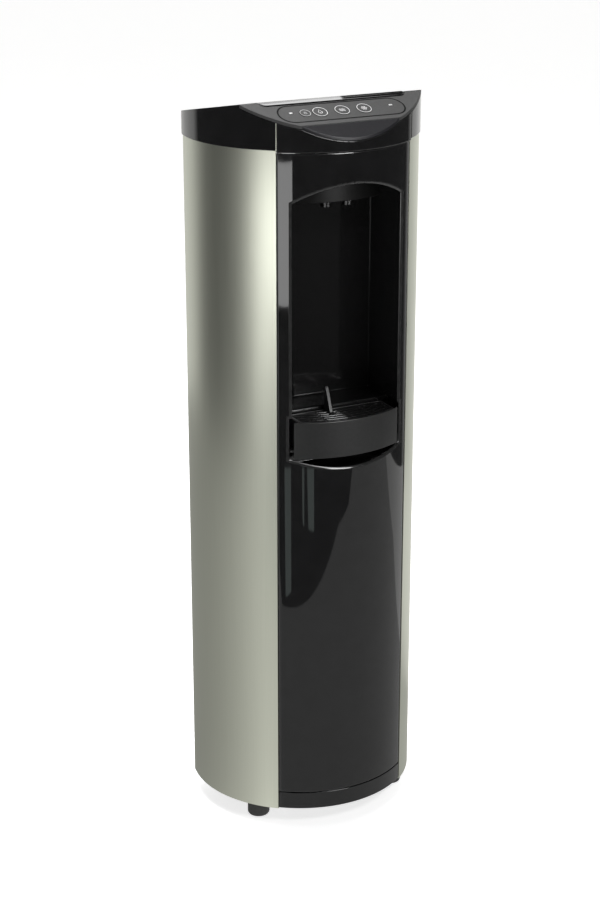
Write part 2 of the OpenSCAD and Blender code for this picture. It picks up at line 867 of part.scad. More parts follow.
module brow_plate() {
    rear = -brow_y - groove / 2;
    front = -cap_r - over;
    color([0.21, 0.21, 0.23]) at_axis() intersection() {
        translate([0, 0, z1]) cylinder(r = cap_r, h = far, $fn = 180);
        across() polygon([
            [front, brow_plane_z(front)], [rear, brow_plane_z(rear)],
            [rear, brow_plane_z(rear) - brow_v], [front, brow_plane_z(front) - brow_v]
        ]);
    }
}

function key_radius(i) = i == 0 ? lock_r : key_r;

module key_panel() {
    color([0.27, 0.27, 0.27]) at_axis() on_slope() difference() {
        translate([0, 0, -key_panel_t]) linear_extrude(key_panel_t) capsule(key_panel_l, key_panel_w);
        for (i = [0:len(key_x) - 1]) translate([key_x[i], 0, -key_panel_t - over])
            cylinder(r = key_radius(i) + fit, h = key_panel_t + 2 * over);
        lens_row(fit, -key_panel_t - over, over);
    }
}

module key(i) {
    low = -key_panel_t + key_travel + seat_gap;
    color([0.29, 0.29, 0.29]) at_axis() on_slope() translate([key_x[i], 0, 0]) {
        translate([0, 0, low]) cylinder(r = key_radius(i), h = key_rise - low);
        translate([0, 0, stem_low]) cylinder(r = stem_r, h = low - stem_low);
    }
}

module key_lock() { key(0); }
module key_hot() { key(1); }
module key_ambient() { key(2); }
module key_cold() { key(3); }

module indicator_lenses() {
    color([0.85, 0.85, 0.85]) at_axis() on_slope() lens_row(0, -plate_t, lens_rise);
}

module control_board() {
    top = -plate_t - board_gap;
    edge = 5;
    board = [2 * (lens_x + boss_out + edge), key_panel_w - 2 * edge, board_t];
    switch_w = 6;
    color([0.05, 0.25, 0.12]) at_axis() on_slope() {
        translate([0, 0, top - board_t / 2]) cube(board, center = true);
        for (x = key_x) translate([x, 0, top]) cube([switch_w, switch_w, 2 * switch_h], center = true);
    }
}

// Shelf and works

module shelf() {
    notch = fold + skin + 2;
    notch_angle = front_half_angle + 4;
    low = z0 + shelf_h - over;
    through = shelf_t + 2 * over;
    color([0.55, 0.56, 0.57]) at_axis() difference() {
        translate([0, 0, z0 + shelf_h]) linear_extrude(shelf_t) inside_plan(skin + fit);
        curved_wall(body_r + over, notch, low, through, -notch_angle, notch_angle);
        translate([ambient_x, ambient_y, low]) cylinder(r = tube_r + fit, h = through);
    }
}

module compressor() {
    dome = 34;
    band_h = 10;
    band_t = 4;
    lug_w = 26;
    lug_in = comp_r * 0.6;
    terminal_w = 30;
    terminal_h = 40;
    color([0.08, 0.08, 0.08]) at_axis() translate([comp_x, works_y, comp_z]) {
        rotate_extrude() intersection() {
            union() {
                translate([0, dome]) square([comp_r, comp_h - 2 * dome]);
                for (y = [dome, comp_h - dome]) translate([0, y]) circle(comp_r);
                translate([0, (comp_h - band_h) / 2]) square([comp_r + band_t, band_h]);
            }
            square([far, comp_h]);
        }
        for (a = [45:90:315]) rotate([0, 0, a]) difference() {
            translate([lug_in, -lug_w / 2, 0]) cube([comp_r + 2 * lug_out - lug_in, lug_w, lug_t]);
            translate([comp_r + lug_out, 0, -over]) cylinder(r = grommet_pin_r + fit, h = lug_t + 2 * over);
        }
        translate([lug_in, lug_in, comp_h / 2]) cube([terminal_w, terminal_w, terminal_h], center = true);
    }
}

module compressor_grommets() {
    grommet_r = 10;
    color([0.10, 0.10, 0.10]) at_axis() translate([comp_x, works_y, floor_z])
        for (a = [45:90:315]) rotate([0, 0, a]) translate([comp_r + lug_out, 0, 0]) {
            cylinder(r = grommet_r, h = grommet_h);
            cylinder(r = grommet_pin_r, h = grommet_h + 2 * lug_t);
        }
}

module drier() {
    r = 11;
    l = 90;
    cone = 14;
    color([0.72, 0.45, 0.20]) at_axis() translate([drier_x, works_y, floor_z]) {
        cylinder(r = r, h = l);
        translate([0, 0, l]) cylinder(r1 = r, r2 = condenser_r, h = cone);
        translate([0, 0, l + cone]) cylinder(r = condenser_r, h = z0 + shelf_h - floor_z - l - cone);
    }
}

// A closed tank with rounded ends and an open port on top
module tank(r, h, port) {
    port_t = 1.5;
    difference() {
        union() {
            rotate_extrude() tank_profile(r, h, tank_end);
            translate([port, 0, h - tank_end]) cylinder(r = tube_r, h = tank_end + port_l);
        }
        rotate_extrude() translate([0, tank_t]) tank_profile(r - tank_t, h - 2 * tank_t, tank_end - tank_t);
        translate([port, 0, h - tank_end]) cylinder(r = tube_r - port_t, h = tank_end + port_l + over);
    }
}

module tank_profile(r, h, end) {
    square([r - end, h]);
    translate([0, end]) square([r, h - 2 * end]);
    for (y = [end, h - end]) translate([r - end, y]) circle(end);
}

module cold_tank() {
    color([0.78, 0.79, 0.80]) at_axis() translate([cold_x, works_y, cold_z]) rotate([0, 0, 90])
        tank(cold_r, cold_h, port_y - works_y);
}

// The evaporator tube, wound as one helix round the cold tank
module evaporator_coil() {
    sides = 6;
    end_gap = 20;
    pitch = (cold_h - 2 * end_gap) / coil_turns;
    tube = coil_r - fit / 2;
    mid_r = coil_seat_r + coil_r;
    rings = coil_turns * coil_steps;
    points = [for (i = [0:rings], j = [0:sides - 1])
        let (a = 360 * i / coil_steps, b = 360 * j / sides, r = mid_r + tube * cos(b))
        [r * cos(a), r * sin(a), end_gap + pitch * i / coil_steps + tube * sin(b)]];
    sleeve = [for (i = [0:rings - 1], j = [0:sides - 1])
        let (a = i * sides + j, b = i * sides + (j + 1) % sides)
        each [[a, a + sides, b + sides], [a, b + sides, b]]];
    ends = [for (j = [1:sides - 2]) each [
        [0, j, j + 1], [rings * sides, rings * sides + j + 1, rings * sides + j]]];
    turn = coil_steps * sides;
    echo(coil_gap = min([for (i = [0:turn - 1], j = [0:sides - 1])
        norm(points[i] - points[turn + floor(i / sides) * sides + j])]));
    color([0.72, 0.45, 0.20]) at_axis() translate([cold_x, works_y, cold_z])
        polyhedron(points, concat(sleeve, ends));
}

module cold_tank_foam() {
    color([0.90, 0.90, 0.88]) at_axis() translate([cold_x, works_y, shelf_top]) difference() {
        cylinder(r = foam_out_r, h = cold_h + tank_seat + foam_t);
        translate([0, 0, tank_seat]) cylinder(r = foam_in_r, h = cold_h + fit);
        translate([0, port_y - works_y, tank_seat + cold_h]) cylinder(r = tube_r + fit, h = foam_t + over);
    }
}

module hot_tank() {
    color([0.78, 0.79, 0.80]) at_axis() translate([hot_x, works_y, hot_z]) rotate([0, 0, 90])
        tank(hot_r, hot_h, port_y - works_y);
}

module hot_tank_jacket() {
    color([0.15, 0.15, 0.16]) at_axis() translate([hot_x, works_y, shelf_top]) difference() {
        cylinder(r = hot_out_r, h = hot_h + tank_seat + jacket_t);
        translate([0, 0, tank_seat]) cylinder(r = hot_r + fit, h = hot_h + fit);
        translate([0, port_y - works_y, tank_seat + hot_h]) cylinder(r = tube_r + fit, h = jacket_t + over);
        translate([0, 0, -over]) cylinder(r = element_r + fit, h = tank_seat + 2 * over);
    }
}

module heating_element() {
    color([0.75, 0.62, 0.30]) at_axis() translate([hot_x, works_y, shelf_top])
        cylinder(r = element_r, h = tank_seat);
}

module filter_head() {
    body_h = head_h - head_tab_h;
    port_wall = 2;
    color([0.86, 0.86, 0.86]) at_axis() translate([filter_x, filter_y, filter_top]) {
        cylinder(r = filter_r, h = body_h);
        translate([-filter_r, -filter_r / 2, body_h]) cube([2 * filter_r, filter_r, head_tab_h]);
        translate([0, filter_r - head_port_l, head_port_z]) rotate([-90, 0, 0])
            cylinder(r = tube_r + port_wall, h = 2 * head_port_l);
    }
}

module filter_cartridge() {
    neck = 6;
    neck_in = 4;
    end = 10;
    color([0.92, 0.92, 0.92]) at_axis() translate([filter_x, filter_y, filter_top - filter_l]) {
        rotate_extrude() tank_profile(filter_r, filter_l - neck, end);
        cylinder(r = filter_r - neck_in, h = filter_l);
    }
}

// Solenoid valves behind the niche

module valve_bracket() {
    edge = 6;
    left = valve_x[0] - valve_w / 2 - edge;
    right = valve_x[2] + valve_w / 2 + edge;
    color([0.60, 0.61, 0.62]) at_axis() translate([left, -niche_back_y + liner_t, valve_z - edge])
        cube([right - left, bracket_t, valve_h + 2 * edge]);
}

module valve(i) {
    rear = -niche_back_y + liner_t + bracket_t;
    depth = 2 * (port_y - rear);
    coil_l = 26;
    coil_edge = 1;
    color([0.85, 0.85, 0.82]) at_axis() {
        translate([valve_x[i] - valve_w / 2, rear, valve_z]) cube([valve_w, depth, valve_h]);
        translate([valve_x[i], port_y, valve_z - valve_port_l])
            cylinder(r = tube_r, h = valve_h + 2 * valve_port_l);
        translate([valve_x[i], rear + depth, valve_z + valve_h / 2]) rotate([-90, 0, 0])
            cylinder(r = valve_w / 2 - coil_edge, h = coil_l);
    }
}

module valve_cold() { valve(0); }
module valve_hot() { valve(1); }
module valve_ambient() { valve(2); }

// Tubes from the valves over the niche down to the nozzles
module outlet_tubes() {
    bend = 10;
    top = valve_z + valve_h + valve_port_l;
    side_z = top + 16;
    color([0.88, 0.88, 0.86]) at_axis() {
        for (x = [-nozzle_x, nozzle_x])
            pipe([[x, port_y, top], [x, port_y, tube_over],
                [x, -spout_y, tube_over], [x, -spout_y, nozzle_top]],
                tube_r, bend);
        pipe([[valve_x[2], port_y, top], [valve_x[2], port_y, side_z], [valve_x[1], port_y, side_z]],
            tube_r, bend);
    }
}

// Tubes from the tanks and the filter up to the valves
module riser_tubes() {
    low = valve_z - valve_port_l;
    turn_z = low - 30;
    hot_turn_z = turn_z - 40;
    cold_top = cold_z + cold_h + port_l;
    hot_top = hot_z + hot_h + port_l;
    head_z = filter_top + head_port_z;
    color([0.88, 0.88, 0.86]) at_axis() {
        pipe([[cold_x, port_y, cold_top], [cold_x, port_y, turn_z], [valve_x[0], port_y, turn_z],
            [valve_x[0], port_y, low]], tube_r, tube_bend);
        pipe([[hot_x, port_y, hot_top], [hot_x, port_y, hot_turn_z], [valve_x[1], port_y, hot_turn_z],
            [valve_x[1], port_y, low]], tube_r, tube_bend);
        pipe([[filter_x, filter_y + filter_r + head_port_l, head_z], [filter_x, ambient_y, head_z],
            [ambient_x, ambient_y, head_z], [ambient_x, ambient_y, turn_z], [ambient_x, port_y, turn_z],
            [ambient_x, port_y, low]], tube_r, tube_bend);
    }
}

module power_box() {
    w = 110;
    d = 46;
    h = 90;
    gap = 20;
    drop = 190;
    color([0.70, 0.70, 0.68]) at_axis()
        translate([ambient_x - gap - w, back_y - d, valve_z - drop]) cube([w, d, h]);
}

// Rear side

module condenser() {
    half_w = condenser_half_w - condenser_pitch / 2 - condenser_r;
    low = z0 + condenser_low;
    high = low + (condenser_passes - 1) * condenser_pitch;
    y = back_y + condenser_y;
    wires = floor((2 * half_w - wire_pitch) / wire_pitch);
    route = [for (i = [0:condenser_passes - 1]) let (z = low + i * condenser_pitch, s = i % 2 == 0 ? 1 : -1)
        each [[-s * (half_w + (i == 0 ? 0 : condenser_pitch / 2)), y, z],
            [s * (half_w + (i == condenser_passes - 1 ? 0 : condenser_pitch / 2)), y, z]]];
    overhang = 12;
    wire_y = condenser_r + wire_r - wire_weld;
    color([0.06, 0.06, 0.06]) at_axis() {
        pipe(route, condenser_r, condenser_pitch / 2);
        for (i = [0:wires], side = [-1, 1])
            translate([(i - wires / 2) * wire_pitch, y + side * wire_y, low - overhang])
                cylinder(r = wire_r, h = high - low + 2 * overhang, $fn = 16);
    }
}

module condenser_brackets() {
    half_w = condenser_half_w - condenser_pitch / 2 - condenser_r;
    reach = condenser_y - skin - condenser_r - fit;
    arm = 14;
    foot_t = 2;
    web_t = 3;
    end_gap = 4;
    color([0.20, 0.20, 0.20]) at_axis()
        for (i = [1, condenser_passes - 2], side = [-1, 1])
            translate([side * (half_w - end_gap), back_out, z0 + condenser_low + i * condenser_pitch]) {
                translate([-arm / 2, 0, -arm / 2]) cube([arm, foot_t, arm]);
                translate([-web_t / 2, 0, -arm / 2]) cube([web_t, reach, arm]);
            }
}

module water_inlet() {
    flange_r = 12;
    flange_t = 5;
    tail_l = 24;
    color([0.85, 0.85, 0.85]) at_axis() on_back(socket_x, socket_z[0]) difference() {
        union() {
            cylinder(r = flange_r, h = flange_t, $fn = 6);
            cylinder(r = inlet_thread_r, h = inlet_nose_l);
            translate([0, 0, -tail_l]) cylinder(r = inlet_thread_r, h = tail_l);
        }
        translate([0, 0, inlet_nose_l - inlet_bore_l]) cylinder(r = inlet_bore_r, h = inlet_bore_l + over);
    }
}

module drain_spigot() {
    flange = 4;
    wall = 2.5;
    tail_l = 16;
    color([0.80, 0.80, 0.80]) at_axis() on_back(socket_x, socket_z[1]) difference() {
        union() {
            cylinder(r = spigot_r + flange, h = spigot_flange_t);
            cylinder(r = spigot_r, h = spigot_l);
            translate([0, 0, -tail_l]) cylinder(r = spigot_r, h = tail_l);
        }
        translate([0, 0, -tail_l - over]) cylinder(r = spigot_r - wall, h = spigot_l + tail_l + 2 * over);
    }
}

module drain_cap() {
    wall = 3;
    room = spigot_l - spigot_flange_t + fit;
    seat_y = back_out + spigot_flange_t;
    color([0.10, 0.10, 0.10]) at_axis() on_back(socket_x, socket_z[1], seat_y) difference() {
        cylinder(r = spigot_r + fit + wall, h = room + wall);
        translate([0, 0, -over]) cylinder(r = spigot_r + fit, h = room + over);
    }
}

module mains_inlet() {
    flange_w = 48;
    flange_h = 26;
    flange_t = 3;
    recess_w = 24;
    recess_h = 16.4;
    depth = 17;
    floor_t = 2;
    pin_t = 2;
    pin_w = 4;
    pin_l = 14;
    pin_pitch = 7;
    earth_up = 4;
    color([0.06, 0.06, 0.06]) at_axis() on_back(-socket_x, socket_z[0]) {
        difference() {
            union() {
                translate([-flange_w / 2, -flange_h / 2, 0]) cube([flange_w, flange_h, flange_t]);
                translate([-mains_w / 2, -mains_h / 2, -depth - floor_t])
                    cube([mains_w, mains_h, depth + floor_t]);
            }
            translate([0, 0, -depth]) linear_extrude(depth + flange_t + over)
                square([recess_w, recess_h], center = true);
        }
        for (i = [-1:1]) let (up = i == 0 ? earth_up : 0)
            translate([i * pin_pitch - pin_t / 2, -pin_w / 2 - up, -depth - over])
                cube([pin_t, pin_w, pin_l]);
    }
}

// Two rockers turn in round wells of one frame
module switch_frame() {
    rim = 4;
    rim_t = 2.5;
    well_floor = 4;
    depth = rocker_r + well_floor;
    color([0.07, 0.07, 0.07]) at_axis() on_back(-socket_x, socket_z[1]) difference() {
        union() {
            translate([-frame_in_w / 2 - rim, -frame_in_h / 2 - rim, 0])
                cube([frame_in_w + 2 * rim, frame_in_h + 2 * rim, rim_t]);
            translate([-frame_in_w / 2, -frame_in_h / 2, -depth]) cube([frame_in_w, frame_in_h, depth]);
        }
        for (side = [-1, 1]) translate([side * rocker_pitch / 2, 0, 0]) rotate([0, 90, 0])
            cylinder(r = rocker_r + rocker_gap, h = rocker_w + 2 * rocker_gap, center = true);
    }
}

module rocker(side) {
    face = 5;
    dip = 8;
    color([0.12, 0.12, 0.12]) at_axis() on_back(-socket_x, socket_z[1])
        translate([side * rocker_pitch / 2, 0, 0]) rotate([rocker_swing / 2, 0, 0]) difference() {
            rotate([0, 90, 0]) cylinder(r = rocker_r, h = rocker_w, center = true);
            for (way = [-1, 1]) rotate([way * dip, 0, 0])
                translate([-rocker_w, way > 0 ? -2 * rocker_r : 0, face])
                    cube([2 * rocker_w, 2 * rocker_r, far]);
        }
}

module rocker_heat() { rocker(-1); }
module rocker_cool() { rocker(1); }

base_pan();
foot_front_left();
foot_front_right();
foot_rear_left();
foot_rear_right();
side_panel_left();
side_panel_right();
back_panel();
front_panel();
kick_plate();
niche_liner();
nozzle_housing();
nozzle_cold();
nozzle_hot();
drip_tray();
drip_grille();
cap_shell();
top_lid();
fascia_band();
control_plate();
brow_plate();
key_panel();
key_lock();
key_hot();
key_ambient();
key_cold();
indicator_lenses();
control_board();
shelf();
compressor();
compressor_grommets();
drier();
cold_tank();
evaporator_coil();
cold_tank_foam();
hot_tank();
hot_tank_jacket();
heating_element();
filter_head();
filter_cartridge();
valve_bracket();
valve_cold();
valve_hot();
valve_ambient();
outlet_tubes();
riser_tubes();
power_box();
condenser();
condenser_brackets();
water_inlet();
drain_spigot();
drain_cap();
mains_inlet();
switch_frame();
rocker_heat();
rocker_cool();
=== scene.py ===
"""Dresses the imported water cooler: finishes, rounded mouldings, key marks, floor, lights and camera."""
import math

import bmesh
import bpy
from mathutils import Matrix, Vector


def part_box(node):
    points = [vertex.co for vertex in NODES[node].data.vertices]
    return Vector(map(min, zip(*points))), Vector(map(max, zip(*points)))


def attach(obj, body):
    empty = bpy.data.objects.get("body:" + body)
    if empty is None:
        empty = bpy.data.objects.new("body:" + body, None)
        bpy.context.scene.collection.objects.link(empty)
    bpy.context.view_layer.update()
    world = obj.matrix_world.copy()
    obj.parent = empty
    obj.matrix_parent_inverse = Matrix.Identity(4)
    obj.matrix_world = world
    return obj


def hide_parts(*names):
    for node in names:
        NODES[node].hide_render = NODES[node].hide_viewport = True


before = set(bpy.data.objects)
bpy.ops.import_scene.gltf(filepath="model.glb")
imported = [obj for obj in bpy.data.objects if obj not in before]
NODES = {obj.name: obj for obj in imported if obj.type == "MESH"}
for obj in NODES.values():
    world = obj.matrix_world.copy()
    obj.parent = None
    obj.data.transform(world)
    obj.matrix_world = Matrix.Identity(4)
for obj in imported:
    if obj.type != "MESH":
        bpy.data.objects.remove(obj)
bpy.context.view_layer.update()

# Driving dimensions of the solids, in metres
FRONT_R = 0.1722
FRONT_T = 0.003
CAP_R = 0.175
CAP_T = 0.003
BODY_R = 0.173
FRONT_HALF_ANGLE = math.radians(37.8)
SEAM = 0.0012
HALF_SEAM_ANGLE = math.asin(SEAM / 2 / BODY_R)
NICHE_HALF_W = 0.088
WIDE_HALF_W = 0.0915
ARCH_R = 0.168
ARCH_DROP = 0.050
SCOOP_R = 0.272
SCOOP_LOW = 0.555
STEP_RISE = 0.006
RIDGE_FRONT = 0.099
RIDGE_H = 0.0604
SLOPE_D = 0.058
SLOPE_ANGLE = math.radians(24)
BROW_ANGLE = math.radians(46)
PLATE_T = 0.004
BROW_T = 0.003
FIT = 0.0003
KEY_ROW_D = 0.0307
KEY_RISE = 0.0005
KEY_R = 0.0112
LOCK_R = 0.0084
KEY_PITCH = 0.0346
LOCK_PITCH = 0.023
KEY_PANEL_L = 0.196
KEY_PANEL_W = 0.040
GRILLE_R = 0.1671
GRILLE_HALF_W = 0.0763
GRILLE_REAR = 0.1127
GRILLE_T = 0.003
GRILLE_RIM = 0.004
NOTCH_LEFT = -0.0168
NOTCH_RIGHT = -0.0112
NOTCH_FRONT = 0.1327

# Mouldings: rolled rims, seam strips and grille slots, in metres and radians, with counts and ratios
FRONT_RIM = 0.0016
OPENING_RIM = 0.0044
FRONT_FLARE = 1.6
BAND_RIM = 0.0012
RIM_SEGMENTS = 6
SIDE_CLEAR = 1.1
PLATE_STRIPS = 64
BAND_STEPS = 72
SEAM_LIP_STRIPS = 6
TONGUE_STRIPS = 2
ARC_CLEAR = 0.002
SEAM_LIP_IN = 0.040
SEAM_LIP_OUT = 0.007
SEAM_LIP_RIM = 0.0003
SEAM_STRIP_T = 0.0012
TONGUE_HALF_W = 0.00055
TONGUE_SINK = 0.0008
TONGUE_DROP = 0.0006
TONGUE_RIM = 0.0002
SLOT_PITCH = 0.0085
SLOT_W = 0.0042
SLOT_COLUMNS = 4
SHORTEST_SLOT = 0.005
NOTCH_SIDE_WALL = 0.003
NOTCH_FRONT_WALL = 0.0045
RIB_ROUND = 0.0012
RIB_SEGMENTS = 4
GRILLE_STEPS = 40
SLOT_STEPS = 8
TINY = 1e-6

# Marks on the key panel, in metres, with the turn of two waves in radians
TWO_WAVES = 12.57
PRINT_H = 0.00012
PRINT_SINK = 0.00005
PRINT_TOP_SHARE = 0.82
RING_INSET = 0.0008
RING_LINE = 0.0011
ICON_LINE = 0.0010
ICON_SIZE = 0.0056
LOCK_ICON_SIZE = 0.0044
# Width and gap of the dark line painted as the shade of the key panel's groove
GROOVE_SHADE_W = 0.0026
GROOVE_SHADE_GAP = 0.0003

# Places taken from the frame
Z0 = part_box("side_panel_left")[0].z
Z1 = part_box("side_panel_left")[1].z
AXIS_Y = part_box("front_panel")[0].y + FRONT_R
TRAY_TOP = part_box("drip_grille")[1].z


# Finishes

PATTERN_LOW = 0.3
PATTERN_HIGH = 0.7


class Finish:
    """A Principled material whose colour, gloss and surface come from procedural patterns."""

    def __init__(self, name, **values):
        self.name = name
        self.material = bpy.data.materials.new(name)
        self.material.use_nodes = True
        self.tree = self.material.node_tree
        self.shader = self.tree.nodes["Principled BSDF"]
        for socket, value in values.items():
            self.shader.inputs[socket.replace("_", " ")].default_value = value

    def node(self, kind, **settings):
        made = self.tree.nodes.new(kind)
        for key, value in settings.items():
            setattr(made, key, value)
        return made

    def link(self, source, target):
        self.tree.links.new(source, target)

    def place(self, stretch):
        coords = self.node("ShaderNodeTexCoord")
        mapping = self.node("ShaderNodeMapping")
        mapping.inputs["Scale"].default_value = stretch
        self.link(coords.outputs["Object"], mapping.inputs["Vector"])
        return mapping.outputs["Vector"]

    def noise(self, stretch, detail=3.0, roughness=0.55):
        texture = self.node("ShaderNodeTexNoise")
        texture.inputs["Scale"].default_value = 1.0
        texture.inputs["Detail"].default_value = detail
        texture.inputs["Roughness"].default_value = roughness
        self.link(self.place(stretch), texture.inputs["Vector"])
        return texture.outputs["Fac"]

    def cells(self, stretch, feature="F1"):
        texture = self.node("ShaderNodeTexVoronoi", feature=feature)
        texture.inputs["Scale"].default_value = 1.0
        self.link(self.place(stretch), texture.inputs["Vector"])
        return texture.outputs["Distance"]

    def colour(self, pattern, dark, light):
        ramp = self.node("ShaderNodeValToRGB")
        first, last = ramp.color_ramp.elements
        first.position = PATTERN_LOW
        first.color = (*dark, 1)
        last.position = PATTERN_HIGH
        last.color = (*light, 1)
        self.link(pattern, ramp.inputs["Fac"])
        self.link(ramp.outputs["Color"], self.shader.inputs["Base Color"])
        return self

    def gloss(self, pattern, low, high):
        spread = self.node("ShaderNodeMapRange")
        spread.inputs["From Min"].default_value = PATTERN_LOW
        spread.inputs["From Max"].default_value = PATTERN_HIGH
        spread.inputs["To Min"].default_value = low
        spread.inputs["To Max"].default_value = high
        self.link(pattern, spread.inputs["Value"])
        self.link(spread.outputs["Result"], self.shader.inputs["Roughness"])
        return self

    def bump(self, pattern, height, strength=0.5):
        raised = self.node("ShaderNodeBump")
        raised.inputs["Strength"].default_value = strength
        raised.inputs["Distance"].default_value = height
        self.link(pattern, raised.inputs["Height"])
        self.link(raised.outputs["Normal"], self.shader.inputs["Normal"])
        return self

    def levels(self, value, low, high, stops):
        """Grey levels along a value that runs from low to high."""
        spread = self.node("ShaderNodeMapRange")
        spread.inputs["From Min"].default_value = low
        spread.inputs["From Max"].default_value = high
        ramp = self.node("ShaderNodeValToRGB")
        marks = ramp.color_ramp.elements
        for position, level in stops:
            marks.new(position).color = (level, level, level, 1)
        marks.remove(marks[-1])
        marks.remove(marks[0])
        self.link(value, spread.inputs["Value"])
        self.link(spread.outputs["Result"], ramp.inputs["Fac"])
        return ramp.outputs["Color"]


def even(value):
    """The same value for all three axes or colours."""
    return (value, value, value)


def brushed_silver():
    """Champagne sheet with fine upright brushing."""
    finish = Finish("silver", Metallic=1.0, Anisotropic=0.7)
    streaks = finish.noise((1500, 1500, 5), detail=4, roughness=0.7)
    finish.colour(streaks, (0.535, 0.55, 0.465), (0.575, 0.59, 0.505))
    finish.gloss(streaks, 0.31, 0.35)
    finish.bump(streaks, 0.00002, 0.35)
    tangent = finish.node("ShaderNodeTangent", direction_type="RADIAL", axis="Z")
    finish.link(tangent.outputs["Tangent"], finish.shader.inputs["Tangent"])
    return finish


def gloss_black():
    """Polished black moulding with a trace of orange peel."""
    finish = Finish("gloss_black", IOR=1.5)
    clouds = finish.noise(even(45))
    finish.colour(clouds, (0.0060, 0.0060, 0.0062), (0.0085, 0.0085, 0.0088))
    finish.gloss(clouds, 0.02, 0.045)
    finish.bump(finish.noise(even(260), detail=1), 0.00003, 0.02)
    return finish


def rim_painted_highlight():
    """The same moulding on its rolled edges: the lighter colour is a painted highlight, and the higher
    roughness spreads the real highlights.
    """
    finish = Finish("gloss_black_rim_painted_highlight", IOR=1.5)
    rim_noise = finish.noise(even(140))
    # Lighter colour on the rims: a painted highlight, not wear
    finish.colour(rim_noise, even(0.016), even(0.026))
    finish.gloss(rim_noise, 0.08, 0.15)
    finish.bump(finish.noise(even(900), detail=2), 0.00003, 0.1)
    return finish


def grained(name, dark, light, low, high, grain=2600, height=0.00004, sheen=0.5):
    """Moulded plastic with a fine spark-eroded grain: two colours, a range of roughness and the grain."""
    finish = Finish(name, Specular_IOR_Level=sheen)
    finish.colour(finish.noise(even(220)), dark, light)
    finish.gloss(finish.noise(even(500)), low, high)
    finish.bump(finish.noise(even(grain), detail=2), height, 0.35)
    return finish


def drawn_metal(name, dark, light, low, high, stretch):
    """Bare metal with drawing lines along its length."""
    finish = Finish(name, Metallic=1.0)
    lines = finish.noise(stretch, detail=4, roughness=0.65)
    finish.colour(lines, dark, light)
    finish.gloss(lines, low, high)
    finish.bump(lines, 0.00002, 0.3)
    return finish


def galvanised():
    """Zinc-coated sheet with its flaky spangle."""
    finish = Finish("galvanised", Metallic=0.9)
    spangle = finish.cells(even(160))
    finish.colour(spangle, (0.36, 0.37, 0.38), (0.56, 0.57, 0.58))
    finish.gloss(spangle, 0.34, 0.5)
    finish.bump(finish.noise(even(900)), 0.00003, 0.25)
    return finish


def foam():
    """Expanded insulation with its beads."""
    finish = Finish("foam_white")
    beads = finish.cells(even(320))
    finish.colour(beads, (0.62, 0.61, 0.57), (0.83, 0.83, 0.80))
    finish.gloss(beads, 0.75, 0.95)
    finish.bump(beads, 0.0006, 0.6)
    return finish


def board():
    """Circuit board under solder resist."""
    finish = Finish("board_green")
    tracks = finish.cells(even(420), "DISTANCE_TO_EDGE")
    finish.colour(tracks, (0.010, 0.085, 0.035), (0.016, 0.13, 0.05))
    finish.gloss(tracks, 0.3, 0.45)
    finish.bump(tracks, 0.00006, 0.4)
    return finish


def clear(name, tint, tint_light, rough):
    """Milky clear plastic."""
    finish = Finish(name, Transmission_Weight=0.25, IOR=1.45)
    haze = finish.noise(even(300))
    finish.colour(haze, tint, tint_light)
    finish.gloss(haze, rough, rough + 0.12)
    finish.bump(finish.noise(even(1200)), 0.00002, 0.2)
    return finish


FINISHES = {finish.name: finish for finish in (
    brushed_silver(),
    gloss_black(),
    rim_painted_highlight(),
    grained("housing_black", even(0.0030), even(0.0042), 0.32, 0.42, 900, sheen=0.12),
    grained("niche_black", (0.0055, 0.0055, 0.0056), (0.0075, 0.0075, 0.0077), 0.07, 0.12, 900, 0.00002),
    grained("control_grey", even(0.046), even(0.052), 0.48, 0.56, sheen=0.12),
    grained("key_grey", even(0.038), even(0.043), 0.46, 0.54, sheen=0.12),
    grained("brow_black", (0.011, 0.0107, 0.013), (0.014, 0.0136, 0.0165), 0.34, 0.42, sheen=0.25),
    grained("tray_black", (0.012, 0.0122, 0.0122), (0.016, 0.0162, 0.0162), 0.30, 0.38, 1900, 0.00006, 0.42),
    grained("grille_black", even(0.011), even(0.015), 0.15, 0.22, 900, 0.00002),
    grained("rubber_black", (0.014, 0.0145, 0.013), (0.022, 0.0225, 0.020), 0.55, 0.7, 1500, 0.00012),
    grained("back_black", even(0.010), even(0.015), 0.42, 0.56, 700, 0.00010),
    grained("compressor_black", even(0.008), even(0.013), 0.2, 0.32, 300, 0.00010),
    grained("socket_black", even(0.010), even(0.014), 0.4, 0.52),
    grained("white_plastic", (0.66, 0.66, 0.64), (0.74, 0.74, 0.72), 0.35, 0.48),
    grained("key_print", even(0.50), even(0.56), 0.4, 0.5),
    # Near-black for the line painted as the groove's shade round the key panel
    grained("groove_shade_black", even(0.006), even(0.009), 0.6, 0.7, sheen=0.03),
    grained("lock_print", even(0.28), even(0.32), 0.4, 0.5),
    drawn_metal("nozzle_steel", even(0.035), even(0.055), 0.22, 0.32, (300, 300, 2400)),
    drawn_metal("stainless", even(0.42), (0.58, 0.58, 0.57), 0.25, 0.38, (700, 700, 20)),
    drawn_metal("copper", (0.46, 0.19, 0.10), (0.72, 0.36, 0.22), 0.28, 0.44, even(120)),
    galvanised(),
    foam(),
    board(),
    clear("lens_clear", even(0.62), even(0.74), 0.2),
    clear("tube_clear", (0.66, 0.68, 0.70), (0.78, 0.80, 0.82), 0.22),
)}

